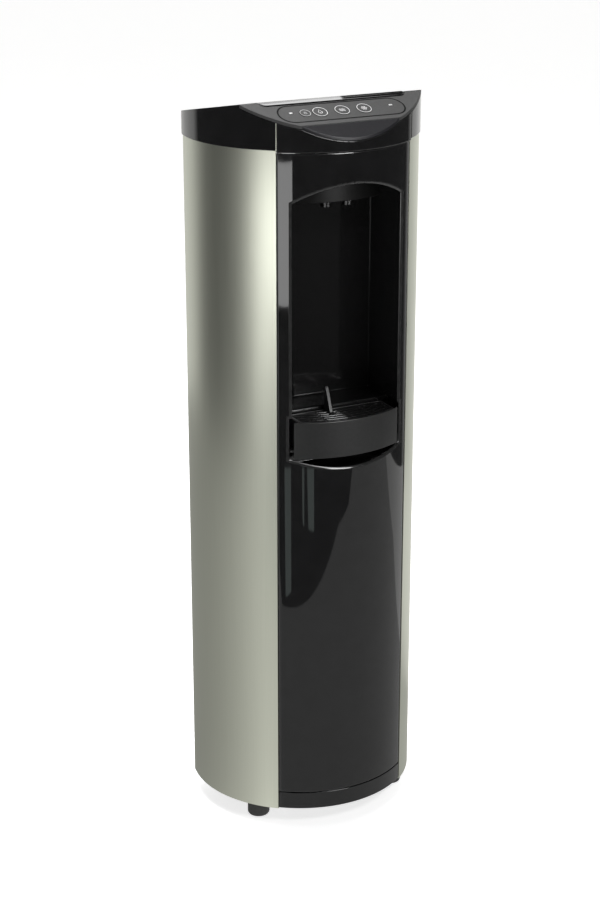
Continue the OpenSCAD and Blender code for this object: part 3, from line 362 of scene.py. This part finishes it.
NODE_FINISH = {
    "silver": ["side_panel_left", "side_panel_right"],
    "gloss_black": ["front_panel", "kick_plate", "cap_shell", "top_lid", "fascia_band"],
    "niche_black": ["niche_liner"],
    "housing_black": ["nozzle_housing"],
    "control_grey": ["control_plate"],
    "key_grey": ["key_panel", "key_lock", "key_hot", "key_ambient", "key_cold"],
    "brow_black": ["brow_plate"],
    "tray_black": ["drip_tray"],
    "grille_black": ["drip_grille"],
    "rubber_black": ["foot_front_left", "foot_front_right", "foot_rear_left", "foot_rear_right",
                     "compressor_grommets", "hot_tank_jacket"],
    "back_black": ["back_panel", "base_pan", "condenser", "condenser_brackets"],
    "compressor_black": ["compressor"],
    "socket_black": ["mains_inlet", "switch_frame", "drain_cap"],
    "white_plastic": ["water_inlet", "drain_spigot", "rocker_heat", "rocker_cool", "filter_head",
                      "filter_cartridge", "valve_cold", "valve_hot", "valve_ambient"],
    "nozzle_steel": ["nozzle_cold", "nozzle_hot"],
    "stainless": ["cold_tank", "hot_tank", "heating_element"],
    "copper": ["evaporator_coil", "drier"],
    "galvanised": ["shelf", "valve_bracket", "power_box"],
    "foam_white": ["cold_tank_foam"],
    "board_green": ["control_board"],
    "lens_clear": ["indicator_lenses"],
    "tube_clear": ["outlet_tubes", "riser_tubes"],
}


def paint(piece, *finishes):
    for finish in finishes:
        piece.data.materials.append(FINISHES[finish].material)


for finish_name, names in NODE_FINISH.items():
    for name in names:
        for material_slot in NODES[name].material_slots:
            material_slot.material = FINISHES[finish_name].material


# Rounded edges on the solids

SOFT_EDGES = {
    "control_plate": 0.0005, "brow_plate": 0.0006, "key_panel": 0.0004, "top_lid": 0.0012,
    "cap_shell": 0.0007, "kick_plate": 0.0007,
}
SOFT_RINGS = {"nozzle_housing": 0.0010, "niche_liner": 0.0026, "drip_tray": 0.0009}
WELD_GAP = 0.00001
FLAT_ANGLE = math.radians(0.4)
SHARP_ANGLE = math.radians(35)
SOFT_SEGMENTS = 3


def smoothing_group():
    """Drops the imported normals and shades every face smooth, so that a bevel sets its own."""
    group = bpy.data.node_groups.new("smooth_faces", "GeometryNodeTree")
    for way in ("INPUT", "OUTPUT"):
        group.interface.new_socket("Geometry", in_out=way, socket_type="NodeSocketGeometry")
    start = group.nodes.new("NodeGroupInput")
    drop = group.nodes.new("GeometryNodeRemoveAttribute")
    drop.inputs["Name"].default_value = "custom_normal"
    smooth = group.nodes.new("GeometryNodeSetShadeSmooth")
    end = group.nodes.new("NodeGroupOutput")
    group.links.new(start.outputs[0], drop.inputs["Geometry"])
    group.links.new(drop.outputs["Geometry"], smooth.inputs["Geometry"])
    group.links.new(smooth.outputs["Geometry"], end.inputs[0])
    return group


def soften(solid, width, smoothing, merge_flats):
    """Rounds a node's sharp edges by modifiers, with its mesh left as it is.

    A node with ring-shaped flats keeps them in pieces, because a merged ring can fill its own hole.
    """
    weld = solid.modifiers.new("weld", "WELD")
    weld.merge_threshold = WELD_GAP
    smooth = solid.modifiers.new("smooth", "NODES")
    smooth.node_group = smoothing
    if merge_flats:
        flat = solid.modifiers.new("flat", "DECIMATE")
        flat.decimate_type = "DISSOLVE"
        flat.angle_limit = FLAT_ANGLE
    bevel = solid.modifiers.new("bevel", "BEVEL")
    bevel.width = width
    bevel.segments = SOFT_SEGMENTS
    bevel.limit_method = "ANGLE"
    bevel.angle_limit = SHARP_ANGLE
    bevel.use_clamp_overlap = False
    bevel.harden_normals = True
    bevel.miter_outer = "MITER_ARC"


def soften_solids():
    smoothing = smoothing_group()
    for widths, merge_flats in ((SOFT_EDGES, True), (SOFT_RINGS, False)):
        for name, width in widths.items():
            soften(NODES[name], width, smoothing, merge_flats)


soften_solids()


# Curved mouldings with rounded rims

def add_piece(name, bm):
    """Puts a finished bmesh into the scene as an object."""
    mesh = bpy.data.meshes.new(name)
    bm.to_mesh(mesh)
    bm.free()
    piece = bpy.data.objects.new(name, mesh)
    bpy.context.scene.collection.objects.link(piece)
    return piece


def shade_smooth(mesh):
    mesh.polygons.foreach_set("use_smooth", [True] * len(mesh.polygons))


def rectangle(left, right, low, high):
    return [(left, low), (right, low), (right, high), (left, high)]


def on_cylinder(u, z, depth, radius):
    """A point of the unrolled wall, set back by depth, on the cabinet's round front."""
    angle = u / radius
    r = radius - depth
    return Vector((r * math.sin(angle), AXIS_Y - r * math.cos(angle), z))


def fill_outlines(bm, outlines):
    edges = []
    for points in outlines:
        verts = [bm.verts.new((u, z, 0)) for u, z in points]
        edges += [bm.edges.new((verts[i - 1], verts[i])) for i in range(len(verts))]
    bmesh.ops.triangle_fill(bm, use_beauty=True, edges=edges, normal=(0, 0, 1))


def thicken(bm, z):
    """Copies the filled faces to height z, facing away, and walls in their rims, which it returns."""
    faces = bm.faces[:]
    rims = [e for e in bm.edges if e.is_boundary]
    far = {v: bm.verts.new((v.co.x, v.co.y, z)) for v in bm.verts[:]}
    for face in faces:
        bm.faces.new([far[v] for v in reversed(face.verts)])
    for edge in rims:
        loop = edge.link_loops[0]
        a, b = loop.vert, loop.link_loop_next.vert
        bm.faces.new([b, a, far[a], far[b]])
    bm.normal_update()
    return rims


def strip_lines(reach, strips):
    return [reach * (2 * i / strips - 1) for i in range(1, strips)]


def is_upright(edge):
    return abs(edge.verts[0].co.x - edge.verts[1].co.x) < TINY


def upright_sides(outlines):
    """How far from the middle the outlines have upright sides."""
    return {abs(a[0]) for outline in outlines for a, b in zip(outline, outline[1:] + outline[:1])
            if abs(a[0] - b[0]) < TINY}


def part_into_strips(bm, lines):
    """Cuts the filled outline along upright lines, removes all other inner edges and turns its faces up."""
    for u in lines:
        geom = bm.verts[:] + bm.edges[:] + bm.faces[:]
        bmesh.ops.bisect_plane(bm, geom=geom, dist=TINY, plane_co=(u, 0, 0), plane_no=(1, 0, 0))
    inner = [e for e in bm.edges if not e.is_boundary and not is_upright(e)]
    bmesh.ops.dissolve_edges(bm, edges=inner, use_verts=False)
    if bm.faces[:][0].normal.z < 0:
        bmesh.ops.reverse_faces(bm, faces=bm.faces[:])


def roll(bm, edges, width):
    """Rounds edges, with the second material on the new faces."""
    if edges:
        bmesh.ops.bevel(bm, geom=edges, offset=width, segments=RIM_SEGMENTS, profile=0.5, affect="EDGES",
                        clamp_overlap=False, material=1)
        bm.normal_update()


def plate_normal(v, depth):
    """The cylinder's own normal on the face of a plate, and the mean of the faces elsewhere."""
    if depth < TINY:
        return Vector((v.co.x, v.co.y - AXIS_Y, 0)).normalized()
    return sum((face.normal * face.calc_area() for face in v.link_faces), Vector()).normalized()


def curved_plate(name, outer, hole, radius, thickness, rim, strips, flare=1.0, hole_rim=0):
    """A plate cut from a cylinder: an unrolled outline, filled in upright strips, with rolled front edges.

    The roll is rim (hole_rim round the hole) wide over the face and that width / flare deep.
    """
    outlines = [outer, hole] if hole else [outer]
    reach = max(u for u, _ in outer)
    side_clear = SIDE_CLEAR * max(rim, hole_rim)
    sides = upright_sides(outlines)
    lines = [u for u in strip_lines(reach, strips) if all(abs(abs(u) - side) > side_clear for side in sides)]

    def on_outer(v):
        at_point = any(abs(v.co.x - u) + abs(v.co.y - z) < TINY for u, z in outer)
        at_side = abs(abs(v.co.x) - reach) < TINY
        at_end = min(abs(v.co.y - z) for _, z in outer) < TINY
        return at_point or at_side or at_end

    bm = bmesh.new()
    fill_outlines(bm, outlines)
    part_into_strips(bm, lines)
    rims = thicken(bm, thickness * flare)
    outside = [e for e in rims if not hole or all(on_outer(v) for v in e.verts)]
    inside = [e for e in rims if e not in outside]
    roll(bm, inside, hole_rim)
    roll(bm, outside, rim)
    depths = [v.co.z / flare for v in bm.verts]
    for v, depth in zip(bm.verts, depths):
        v.co = on_cylinder(v.co.x, v.co.y, depth, radius)
    bm.normal_update()
    normals = [plate_normal(v, depth) for v, depth in zip(bm.verts, depths)]
    piece = add_piece(name, bm)
    shade_smooth(piece.data)
    piece.data.normals_split_custom_set_from_vertices(normals)
    return piece


def arc(radius, centre_z, half_w, between, side):
    """Points of a circle about (0, centre_z) at -half_w..half_w, on its upper or lower side."""
    places = [-half_w, *(x for x in between if abs(x) < half_w - ARC_CLEAR), half_w]
    return [(x, centre_z + side * math.sqrt(radius * radius - x * x)) for x in places]


def unrolled(points, radius):
    return [(radius * math.asin(x / radius), z) for x, z in points]


def opening_outline(between):
    """The arched niche with the wider tray mouth and the scoop below it, in (x, z)."""
    scoop = arc(SCOOP_R, Z0 + SCOOP_LOW + SCOOP_R, WIDE_HALF_W, between, -1)
    arch = arc(ARCH_R, Z1 - ARCH_DROP - ARCH_R, NICHE_HALF_W, between, 1)
    step = TRAY_TOP + STEP_RISE
    right = [(WIDE_HALF_W, step), (NICHE_HALF_W, step)]
    left = [(-NICHE_HALF_W, step), (-WIDE_HALF_W, step)]
    return scoop + right + arch[::-1] + left


def make_front_panel():
    """The gloss front with rolled edges; the opening's curves take their points from the strip lines."""
    low, high = (corner.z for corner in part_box("front_panel"))
    reach = FRONT_R * (FRONT_HALF_ANGLE - HALF_SEAM_ANGLE)
    outer = rectangle(-reach, reach, low, high)
    between = [FRONT_R * math.sin(u / FRONT_R) for u in strip_lines(reach, PLATE_STRIPS)]
    hole = unrolled(opening_outline(between), FRONT_R)
    piece = curved_plate("front_moulding", outer, hole, FRONT_R, FRONT_T, FRONT_RIM, PLATE_STRIPS,
                         FRONT_FLARE, OPENING_RIM)
    # The rolled rims take the lighter rim finish, a painted highlight
    paint(piece, "gloss_black", "gloss_black_rim_painted_highlight")
    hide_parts("front_panel")
    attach(piece, "cabinet")


def band_top(angle):
    """Height of the fascia band's top edge, under the control plate and the brow plate."""
    y = -CAP_R * math.cos(angle)
    ridge_z = Z1 + RIDGE_H
    brow_y = RIDGE_FRONT + SLOPE_D
    slope = ridge_z + math.tan(SLOPE_ANGLE) * (y + RIDGE_FRONT)
    brow = ridge_z - math.tan(SLOPE_ANGLE) * SLOPE_D + math.tan(BROW_ANGLE) * (y + brow_y)
    return min(slope - PLATE_T / math.cos(SLOPE_ANGLE), brow - BROW_T / math.cos(BROW_ANGLE)) - FIT


def make_fascia_band():
    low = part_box("fascia_band")[0].z
    half = FRONT_HALF_ANGLE - HALF_SEAM_ANGLE
    angles = [half * (2 * i / BAND_STEPS - 1) for i in range(BAND_STEPS + 1)]
    outer = [(-CAP_R * half, low), (CAP_R * half, low)]
    outer += [(CAP_R * a, band_top(a)) for a in reversed(angles)]
    piece = curved_plate("fascia_moulding", outer, None, CAP_R, CAP_T, BAND_RIM, PLATE_STRIPS)
    # The rolled rims take the lighter rim finish, a painted highlight
    paint(piece, "gloss_black", "gloss_black_rim_painted_highlight")
    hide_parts("fascia_band")
    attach(piece, "cabinet")


def make_seam_strips():
    """Dark lips behind the front panel's two seams, and the side panels' tongues in the cap's seams."""
    low, high = (corner.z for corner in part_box("front_panel"))
    inner_r = FRONT_R - FRONT_T
    tongue_r = CAP_R - TONGUE_SINK
    tongue_top = band_top(FRONT_HALF_ANGLE) - TONGUE_DROP
    for name, side in (("left", -1), ("right", 1)):
        ends = sorted(side * inner_r * (FRONT_HALF_ANGLE + turn) for turn in (-SEAM_LIP_IN, SEAM_LIP_OUT))
        lip = curved_plate(f"seam_lip_{name}", rectangle(*ends, low, high), None, inner_r, SEAM_STRIP_T,
                           SEAM_LIP_RIM, SEAM_LIP_STRIPS)
        paint(lip, "back_black", "back_black")
        middle = side * tongue_r * FRONT_HALF_ANGLE
        outer = rectangle(middle - TONGUE_HALF_W, middle + TONGUE_HALF_W, Z1, tongue_top)
        tongue = curved_plate(f"seam_tongue_{name}", outer, None, tongue_r, SEAM_STRIP_T, TONGUE_RIM,
                              TONGUE_STRIPS)
        paint(tongue, "silver", "silver")
        for piece, slot in ((lip, "back_black"), (tongue, "silver")):
            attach(piece, "cabinet")


def bow(radius, left, right, count=SLOT_STEPS):
    """Points of a circle about the cabinet's axis, on its front side, from left to right."""
    places = [left + (right - left) * i / count for i in range(count + 1)]
    return [(x, AXIS_Y - math.sqrt(radius * radius - x * x)) for x in places]


def grille_slots():
    """Slots in columns that follow the tray's curved front and stay clear of the tab's notch."""
    ribs = (SLOT_COLUMNS + 1) * GRILLE_RIM
    column_w = (2 * GRILLE_HALF_W - ribs) / SLOT_COLUMNS
    rear = GRILLE_REAR + GRILLE_RIM
    slots = []
    radius = GRILLE_R - GRILLE_RIM
    while radius - SLOT_W > rear:
        inner = radius - SLOT_W
        reach = math.sqrt(inner * inner - rear ** 2)
        for column in range(SLOT_COLUMNS):
            left = -GRILLE_HALF_W + GRILLE_RIM + column * (column_w + GRILLE_RIM)
            right = left + column_w
            spans = [(left, right)]
            if inner < NOTCH_FRONT + NOTCH_FRONT_WALL and left < NOTCH_LEFT < right:
                spans = [(left, NOTCH_LEFT - NOTCH_SIDE_WALL), (NOTCH_RIGHT + NOTCH_SIDE_WALL, right)]
            for low, high in spans:
                low, high = max(low, -reach), min(high, reach)
                if high - low > SHORTEST_SLOT:
                    slots.append(bow(radius, low, high) + bow(inner, low, high)[::-1])
        radius -= SLOT_PITCH
    return slots


def make_grille():
    """The drip grille with curved slots, rounded ribs and the notch for its tab."""
    rear = AXIS_Y - GRILLE_REAR
    notch_y = AXIS_Y - NOTCH_FRONT
    front = bow(GRILLE_R, -GRILLE_HALF_W, GRILLE_HALF_W, GRILLE_STEPS)
    outer = [(-GRILLE_HALF_W, rear), *front, (GRILLE_HALF_W, rear),
             (NOTCH_RIGHT, rear), (NOTCH_RIGHT, notch_y), (NOTCH_LEFT, notch_y), (NOTCH_LEFT, rear)]
    bm = bmesh.new()
    fill_outlines(bm, [outer, *grille_slots()])
    bm.normal_update()
    for face in bm.faces:
        if face.normal.z < 0:
            face.normal_flip()
    rims = thicken(bm, -GRILLE_T)
    bmesh.ops.bevel(bm, geom=rims, offset=RIB_ROUND, segments=RIB_SEGMENTS, profile=0.5, affect="EDGES",
                    clamp_overlap=False)
    bmesh.ops.translate(bm, verts=bm.verts[:], vec=(0, 0, TRAY_TOP))
    piece = add_piece("grille_moulding", bm)
    shade_smooth(piece.data)
    piece.data.set_sharp_from_angle(angle=SHARP_ANGLE)
    paint(piece, "grille_black")
    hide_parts("drip_grille")
    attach(piece, "grille")


make_front_panel()
make_fascia_band()
make_seam_strips()
make_grille()


# Marks on the key panel, and the painted shade of its groove

KEY_ROW_Y = AXIS_Y - RIDGE_FRONT - KEY_ROW_D
KEY_ROW_Z = Z1 + RIDGE_H - math.tan(SLOPE_ANGLE) * KEY_ROW_D
KEY_FRAME = Matrix.Translation((0, KEY_ROW_Y, KEY_ROW_Z)) @ Matrix.Rotation(SLOPE_ANGLE, 4, "X")


def stroke(bm, points, width, closed=False, rise=KEY_RISE):
    """A raised line of even width along points of a face that stands rise above the key panel."""
    count = len(points)
    path = [Vector(p) for p in points]
    top, low = rise + PRINT_H, rise - PRINT_SINK
    sections = []
    for i, p in enumerate(path):
        before = path[i - 1] if closed or i else p
        after = path[(i + 1) % count] if closed or i < count - 1 else p
        along = (after - before).normalized()
        across = Vector((-along.y, along.x)) * width / 2
        inset = across * PRINT_TOP_SHARE
        sections.append([bm.verts.new((*(p + across), low)), bm.verts.new((*(p + inset), top)),
                         bm.verts.new((*(p - inset), top)), bm.verts.new((*(p - across), low))])
    for i in range(count if closed else count - 1):
        a, b = sections[i], sections[(i + 1) % count]
        for j in range(4):
            bm.faces.new([a[j], a[(j + 1) % 4], b[(j + 1) % 4], b[j]])
    if not closed:
        bm.faces.new(sections[0][::-1])
        bm.faces.new(sections[-1])


def circle(radius, count=48, start=0, turn=360, centre=(0, 0)):
    """Points of a circle, or of a part of it with both its ends."""
    steps = count if turn == 360 else count + 1
    angles = [math.radians(start + turn * i / count) for i in range(steps)]
    return [(centre[0] + radius * math.cos(a), centre[1] + radius * math.sin(a)) for a in angles]


def padlock(bm, size, line):
    half_w = 0.42 * size
    low, high = -0.44 * size, 0.24 * size
    stroke(bm, rectangle(-half_w, half_w, low, high), line, True)
    stroke(bm, circle(0.28 * size, 12, 0, 180, (0, high)), line)


def drop(bm, size, line):
    centre = (0, -0.2 * size)
    stroke(bm, [(0, 0.9 * size), *circle(0.5 * size, 20, 160, 220, centre)], line, True)
    stroke(bm, circle(0.25 * size, 8, 200, 80, centre), line)


def waves(bm, size, line):
    steps = [i / 16 for i in range(17)]
    for row in (-0.36, 0, 0.36):
        points = [((2 * t - 1) * 0.8, row + 0.1 * math.sin(t * TWO_WAVES)) for t in steps]
        stroke(bm, [(x * size, y * size) for x, y in points], line)


def snowflake(bm, size, line):
    for i in range(6):
        turn = Matrix.Rotation(math.radians(60 * i), 2) * size
        stroke(bm, [turn @ Vector((0.08, 0)), turn @ Vector((0.85, 0))], line)
        for side in (-1, 1):
            stroke(bm, [turn @ Vector((0.45, 0)), turn @ Vector((0.68, 0.24 * side))], line * 0.8)


def lay_on_panel(bm, name, x, finish, body):
    """Sets strokes down on the slope of the key row, x from its middle."""
    bmesh.ops.recalc_face_normals(bm, faces=bm.faces[:])
    piece = add_piece(name, bm)
    piece.matrix_world = KEY_FRAME @ Matrix.Translation((x, 0, 0))
    paint(piece, finish)
    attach(piece, body)


def print_key(key, x, key_r, icon, size, finish="key_print"):
    bm = bmesh.new()
    stroke(bm, circle(key_r - RING_INSET), RING_LINE, True)
    icon(bm, size, ICON_LINE)
    lay_on_panel(bm, f"{key}_print", x, finish, key)


def make_panel_groove_shade():
    """A dark line laid in the groove round the key panel: painted shade of the groove."""
    radius = KEY_PANEL_W / 2 + GROOVE_SHADE_GAP
    half = (KEY_PANEL_L - KEY_PANEL_W) / 2
    outline = circle(radius, 24, -90, 180, (half, 0)) + circle(radius, 24, 90, 180, (-half, 0))
    bm = bmesh.new()
    stroke(bm, outline, GROOVE_SHADE_W, True, 0)
    lay_on_panel(bm, "key_panel_seal", 0, "groove_shade_black", "cabinet")


make_panel_groove_shade()
print_key("key_lock", -KEY_PITCH - LOCK_PITCH, LOCK_R, padlock, LOCK_ICON_SIZE, "lock_print")
print_key("key_hot", -KEY_PITCH, KEY_R, drop, ICON_SIZE)
print_key("key_ambient", 0, KEY_R, waves, ICON_SIZE)
print_key("key_cold", KEY_PITCH, KEY_R, snowflake, ICON_SIZE)


# Studio: floor, cards that only the gloss mirrors, lights and camera, in metres

FLOOR_HALF = 40
WHITE = (1, 1, 1, 1)
WARM_WHITE = (1, 1, 0.985, 1)
STRIP_TINT = (0.86, 1, 0.95, 1)

# Floor outlines in (x, y): the sheet whose edge shows in the front, its right side, and the window strips
SHEET_Z = 0.001
SHEET = [
    (-1.6, 1.6), (-2.0, -0.2), (-1.7, -0.80), (-1.82, -1.38), (-0.70, -0.69), (0.25, -1.36), (0.55, -1.40),
    (0.95, -1.75), (1.45, -1.55), (1.75, -0.80), (1.2, -0.2), (0.1, 0.3), (0.1, 2.1), (-0.6, 2.2),
]
SHEET_RIGHT = [(0.1, 0.3), (1.2, -0.2), (1.75, -0.80), (1.55, 0.9), (0.9, 2.0), (0.1, 2.1)]
WINDOW_STRIPS = [
    [(-1.20, -1.31), (-1.05, -1.43), (-0.62, -0.84), (-0.68, -0.76)],
    [(-0.765, -1.597), (-0.702, -1.625), (-0.56, -1.28), (-0.60, -1.28)],
    [(-0.627, -1.653), (-0.425, -1.713), (-0.33, -1.32), (-0.46, -1.30)],
]

# Brightness of the sheet from the back left round to the front right, and of the lip's card from low to high
HEADING_REACH = 1.5
SHEET_LEVELS = ((0.03, 0.36), (0.12, 0.45), (0.232, 0.61), (0.30, 0.72), (0.36, 0.87), (0.427, 1.08),
                (0.45, 1.12), (0.493, 0.55))
LIP_LEVELS = ((0.01, 0.11), (0.108, 0.15), (0.341, 0.25), (0.54, 0.39), (0.72, 0.58), (0.874, 0.78),
              (0.99, 1.0))

# The lid's lip and the cards bent round it: radius, angles in degrees, sides in x and graded heights
LIP_Y = -0.040
LIP_Z = 1.105
LIP_CARD_R = 1.2
LIP_CARD_START = 4
LIP_CARD_TURN = 56
LIP_CARD_LEFT = 0.38
LIP_CARD_MIDDLE = 0.648
LIP_CARD_RIGHT = 0.90
LIP_CARD_LOW = 1.19
LIP_CARD_HIGH = 2.144

FRONT_PLACE = (0.50, -1.97, 2.34)
FRONT_AIM = (0, -0.1, 0.6)
FRONT_HALF_W = 0.45
FRONT_CARD_HALF_H = 0.9
LOW_CARD_PLACE = (0.647, -2.545, 1.2)
LOW_CARD_TURN = math.radians(15)
LOW_CARD_HALF_H = 0.48

SOFTBOX_D = 2.2
TOP_PLACE = (0.186, 0.9, 3.0)
TOP_AIM = (0.186, 0.9, 0)
WALL_HEADING = math.radians(21)
WALL_START = 0.735
WALL_FULL = 0.794
WALL_WHITE = (1.1, 1.1, 1.08, 1)
ROOM_GREY = (0.07, 0.07, 0.07, 1)
CAMERA_PLACE = (-1.30975, AXIS_Y - 2.58710, 1.56184)
CAMERA_TILT = math.radians(90 - 19.17)
CAMERA_TURN = math.radians(-26.85)
LENS_MM = 80
SENSOR_MM = 36


def make_floor():
    bm = bmesh.new()
    bmesh.ops.create_grid(bm, x_segments=8, y_segments=8, size=FLOOR_HALF)
    floor = add_piece("floor", bm)
    finish = Finish("floor_white", Emission_Color=WHITE, Emission_Strength=0.72)
    finish.colour(finish.noise(even(3)), even(0.86), even(0.88))
    finish.gloss(finish.noise(even(9)), 0.8, 0.9)
    floor.data.materials.append(finish.material)
    floor.visible_glossy = False


def glow(name, strength, colour=WHITE):
    return Finish(name, Emission_Color=colour, Emission_Strength=strength)


def card(name, outlines, place, finish):
    """A studio card of flat faces that shows in the gloss alone."""
    bm = bmesh.new()
    for outline in outlines:
        bm.faces.new([bm.verts.new(place @ Vector(point).to_3d()) for point in outline])
    piece = add_piece(name, bm)
    finish.colour(finish.noise(even(3)), even(0.004), even(0.006))
    finish.shader.inputs["Specular IOR Level"].default_value = 0
    piece.data.materials.append(finish.material)
    piece.visible_camera = False
    piece.visible_diffuse = False
    piece.visible_transmission = False
    piece.visible_shadow = False


def sheet_white():
    """White whose brightness changes with the heading from the cabinet's middle."""
    finish = Finish("sheet_white", Emission_Color=WARM_WHITE)
    coords = finish.node("ShaderNodeTexCoord")
    heading = finish.node("ShaderNodeVectorMath", operation="NORMALIZE")
    split = finish.node("ShaderNodeSeparateXYZ")
    across = finish.node("ShaderNodeMath", operation="SUBTRACT")
    finish.link(coords.outputs["Object"], heading.inputs[0])
    finish.link(heading.outputs["Vector"], split.inputs["Vector"])
    finish.link(split.outputs["X"], across.inputs[0])
    finish.link(split.outputs["Y"], across.inputs[1])
    level = finish.levels(across.outputs["Value"], -HEADING_REACH, HEADING_REACH, SHEET_LEVELS)
    finish.link(level, finish.shader.inputs["Emission Strength"])
    return finish


def make_floor_cards():
    """The white sheet under the cabinet, its brighter right side and the window strips."""
    place = Matrix.Translation((0, 0, SHEET_Z))
    card("white_sheet", [SHEET], place, sheet_white())
    card("white_sheet_right", [SHEET_RIGHT], place, glow("sheet_right", 1.0, WARM_WHITE))
    card("light_strips", WINDOW_STRIPS, place, glow("strip_grey", 0.9, STRIP_TINT))


def lip_white():
    """White that brightens upwards, which grades the light on the lid's lip."""
    finish = Finish("lip_white", Emission_Strength=7.5)
    coords = finish.node("ShaderNodeTexCoord")
    split = finish.node("ShaderNodeSeparateXYZ")
    finish.link(coords.outputs["Object"], split.inputs["Vector"])
    level = finish.levels(split.outputs["Z"], LIP_CARD_LOW, LIP_CARD_HIGH, LIP_LEVELS)
    finish.link(level, finish.shader.inputs["Emission Color"])
    return finish


def lip_card(name, left, right, finish):
    """A card behind the cabinet, bent round the lid's front lip, which mirrors it from left to right."""
    bend = circle(LIP_CARD_R, 8, LIP_CARD_START, LIP_CARD_TURN, (LIP_Y, LIP_Z))
    spans = zip(bend, bend[1:])
    faces = [[(left, *low), (right, *low), (right, *high), (left, *high)] for low, high in spans]
    card(name, faces, Matrix.Identity(4), finish)


def make_lip_cards():
    lip_card("lip_card", LIP_CARD_LEFT, LIP_CARD_MIDDLE, lip_white())
    lip_card("lip_flag", LIP_CARD_MIDDLE, LIP_CARD_RIGHT, glow("lip_dark", 0.03))


def facing(place, target):
    return (Vector(target) - Vector(place)).to_track_quat("-Z", "Y")


def make_low_card():
    """An upright white card in front of the cabinet."""
    outline = rectangle(-FRONT_HALF_W, FRONT_HALF_W, -LOW_CARD_HALF_H, LOW_CARD_HALF_H)
    upright = Matrix.Rotation(math.radians(90), 4, "X")
    place = Matrix.Translation(LOW_CARD_PLACE) @ Matrix.Rotation(LOW_CARD_TURN, 4, "Z") @ upright
    card("front_card_low", [outline], place, glow("card_low_white", 20.0))


def make_front_card():
    """A card at the front light's place, which the gloss mirrors as a taller light."""
    outline = rectangle(-FRONT_HALF_W, FRONT_HALF_W, -FRONT_CARD_HALF_H, FRONT_CARD_HALF_H)
    place = Matrix.Translation(FRONT_PLACE) @ facing(FRONT_PLACE, FRONT_AIM).to_matrix().to_4x4()
    card("front_card", [outline], place, glow("card_white", 10.0))


def area_light(name, place, target, width, height, radiance):
    """A rectangular light of even radiance at place, facing target."""
    light = bpy.data.lights.new(name, "AREA")
    light.shape = "RECTANGLE"
    light.size = width
    light.size_y = height
    light.energy = radiance * math.pi * width * height
    lamp = bpy.data.objects.new(name, light)
    bpy.context.scene.collection.objects.link(lamp)
    lamp.location = place
    lamp.rotation_euler = facing(place, target).to_euler()
    lamp.visible_camera = False


def softbox(name, azimuth, low, high, width, radiance):
    """An upright light round the cabinet, facing its axis; azimuth from the back towards +X."""
    turn = math.radians(azimuth)
    middle = (low + high) / 2
    place = (SOFTBOX_D * math.sin(turn), AXIS_Y + SOFTBOX_D * math.cos(turn), middle)
    area_light(name, place, (0, AXIS_Y, middle), width, high - low, radiance)


def keep_off_top(lights):
    """Keeps lights out of the lid and cap, which would mirror them white from behind."""
    tops = bpy.data.collections.new("tops")
    for name in ("top_lid", "cap_shell"):
        tops.objects.link(NODES[name])
    for entry in tops.collection_objects:
        entry.light_linking.link_state = "EXCLUDE"
    for name in lights:
        bpy.data.objects[name].light_linking.receiver_collection = tops


def make_lights():
    softbox("key", -138.5, 0.28, 0.638, 0.58, 4.7)
    softbox("side", -121, 0.34, 0.645, 0.77, 3.3)
    softbox("fill", -119, 0.0, 0.3, 0.6, 2.2)
    area_light("top", TOP_PLACE, TOP_AIM, 1.96, 2.0, 6.5)
    area_light("front", FRONT_PLACE, FRONT_AIM, 2 * FRONT_HALF_W, 0.5, 12.0)
    keep_off_top(("front", "front_card", "front_card_low"))


def make_world():
    """A white wall behind and to the right of the cabinet, and a dim room in front of it."""
    world = bpy.data.worlds.new("studio")
    bpy.context.scene.world = world
    world.use_nodes = True
    tree = world.node_tree
    tree.nodes.clear()
    make = tree.nodes.new
    link = tree.links.new
    coords = make("ShaderNodeTexCoord")
    dot = make("ShaderNodeVectorMath")
    dot.operation = "DOT_PRODUCT"
    dot.inputs[1].default_value = (math.sin(WALL_HEADING), math.cos(WALL_HEADING), 0)
    half = make("ShaderNodeMapRange")
    half.inputs["From Min"].default_value = -1
    ramp = make("ShaderNodeValToRGB")
    dim, wall = ramp.color_ramp.elements
    dim.position = WALL_START
    dim.color = ROOM_GREY
    wall.position = WALL_FULL
    wall.color = WALL_WHITE
    room = make("ShaderNodeBackground")
    white = make("ShaderNodeBackground")
    white.inputs["Color"].default_value = WHITE
    path = make("ShaderNodeLightPath")
    mix = make("ShaderNodeMixShader")
    out = make("ShaderNodeOutputWorld")
    link(coords.outputs["Generated"], dot.inputs[0])
    link(dot.outputs["Value"], half.inputs["Value"])
    link(half.outputs["Result"], ramp.inputs["Fac"])
    link(ramp.outputs["Color"], room.inputs["Color"])
    link(path.outputs["Is Camera Ray"], mix.inputs["Fac"])
    link(room.outputs["Background"], mix.inputs[1])
    link(white.outputs["Background"], mix.inputs[2])
    link(mix.outputs["Shader"], out.inputs["Surface"])


def make_camera():
    lens = bpy.data.cameras.new("camera")
    lens.lens = LENS_MM
    lens.sensor_width = SENSOR_MM
    camera = bpy.data.objects.new("camera", lens)
    bpy.context.scene.collection.objects.link(camera)
    camera.location = CAMERA_PLACE
    camera.rotation_euler = (CAMERA_TILT, 0, CAMERA_TURN)
    bpy.context.scene.camera = camera


make_floor()
make_floor_cards()
make_low_card()
make_lip_cards()
make_front_card()
make_world()
make_lights()
make_camera()
bpy.context.scene.view_settings.view_transform = "Standard"
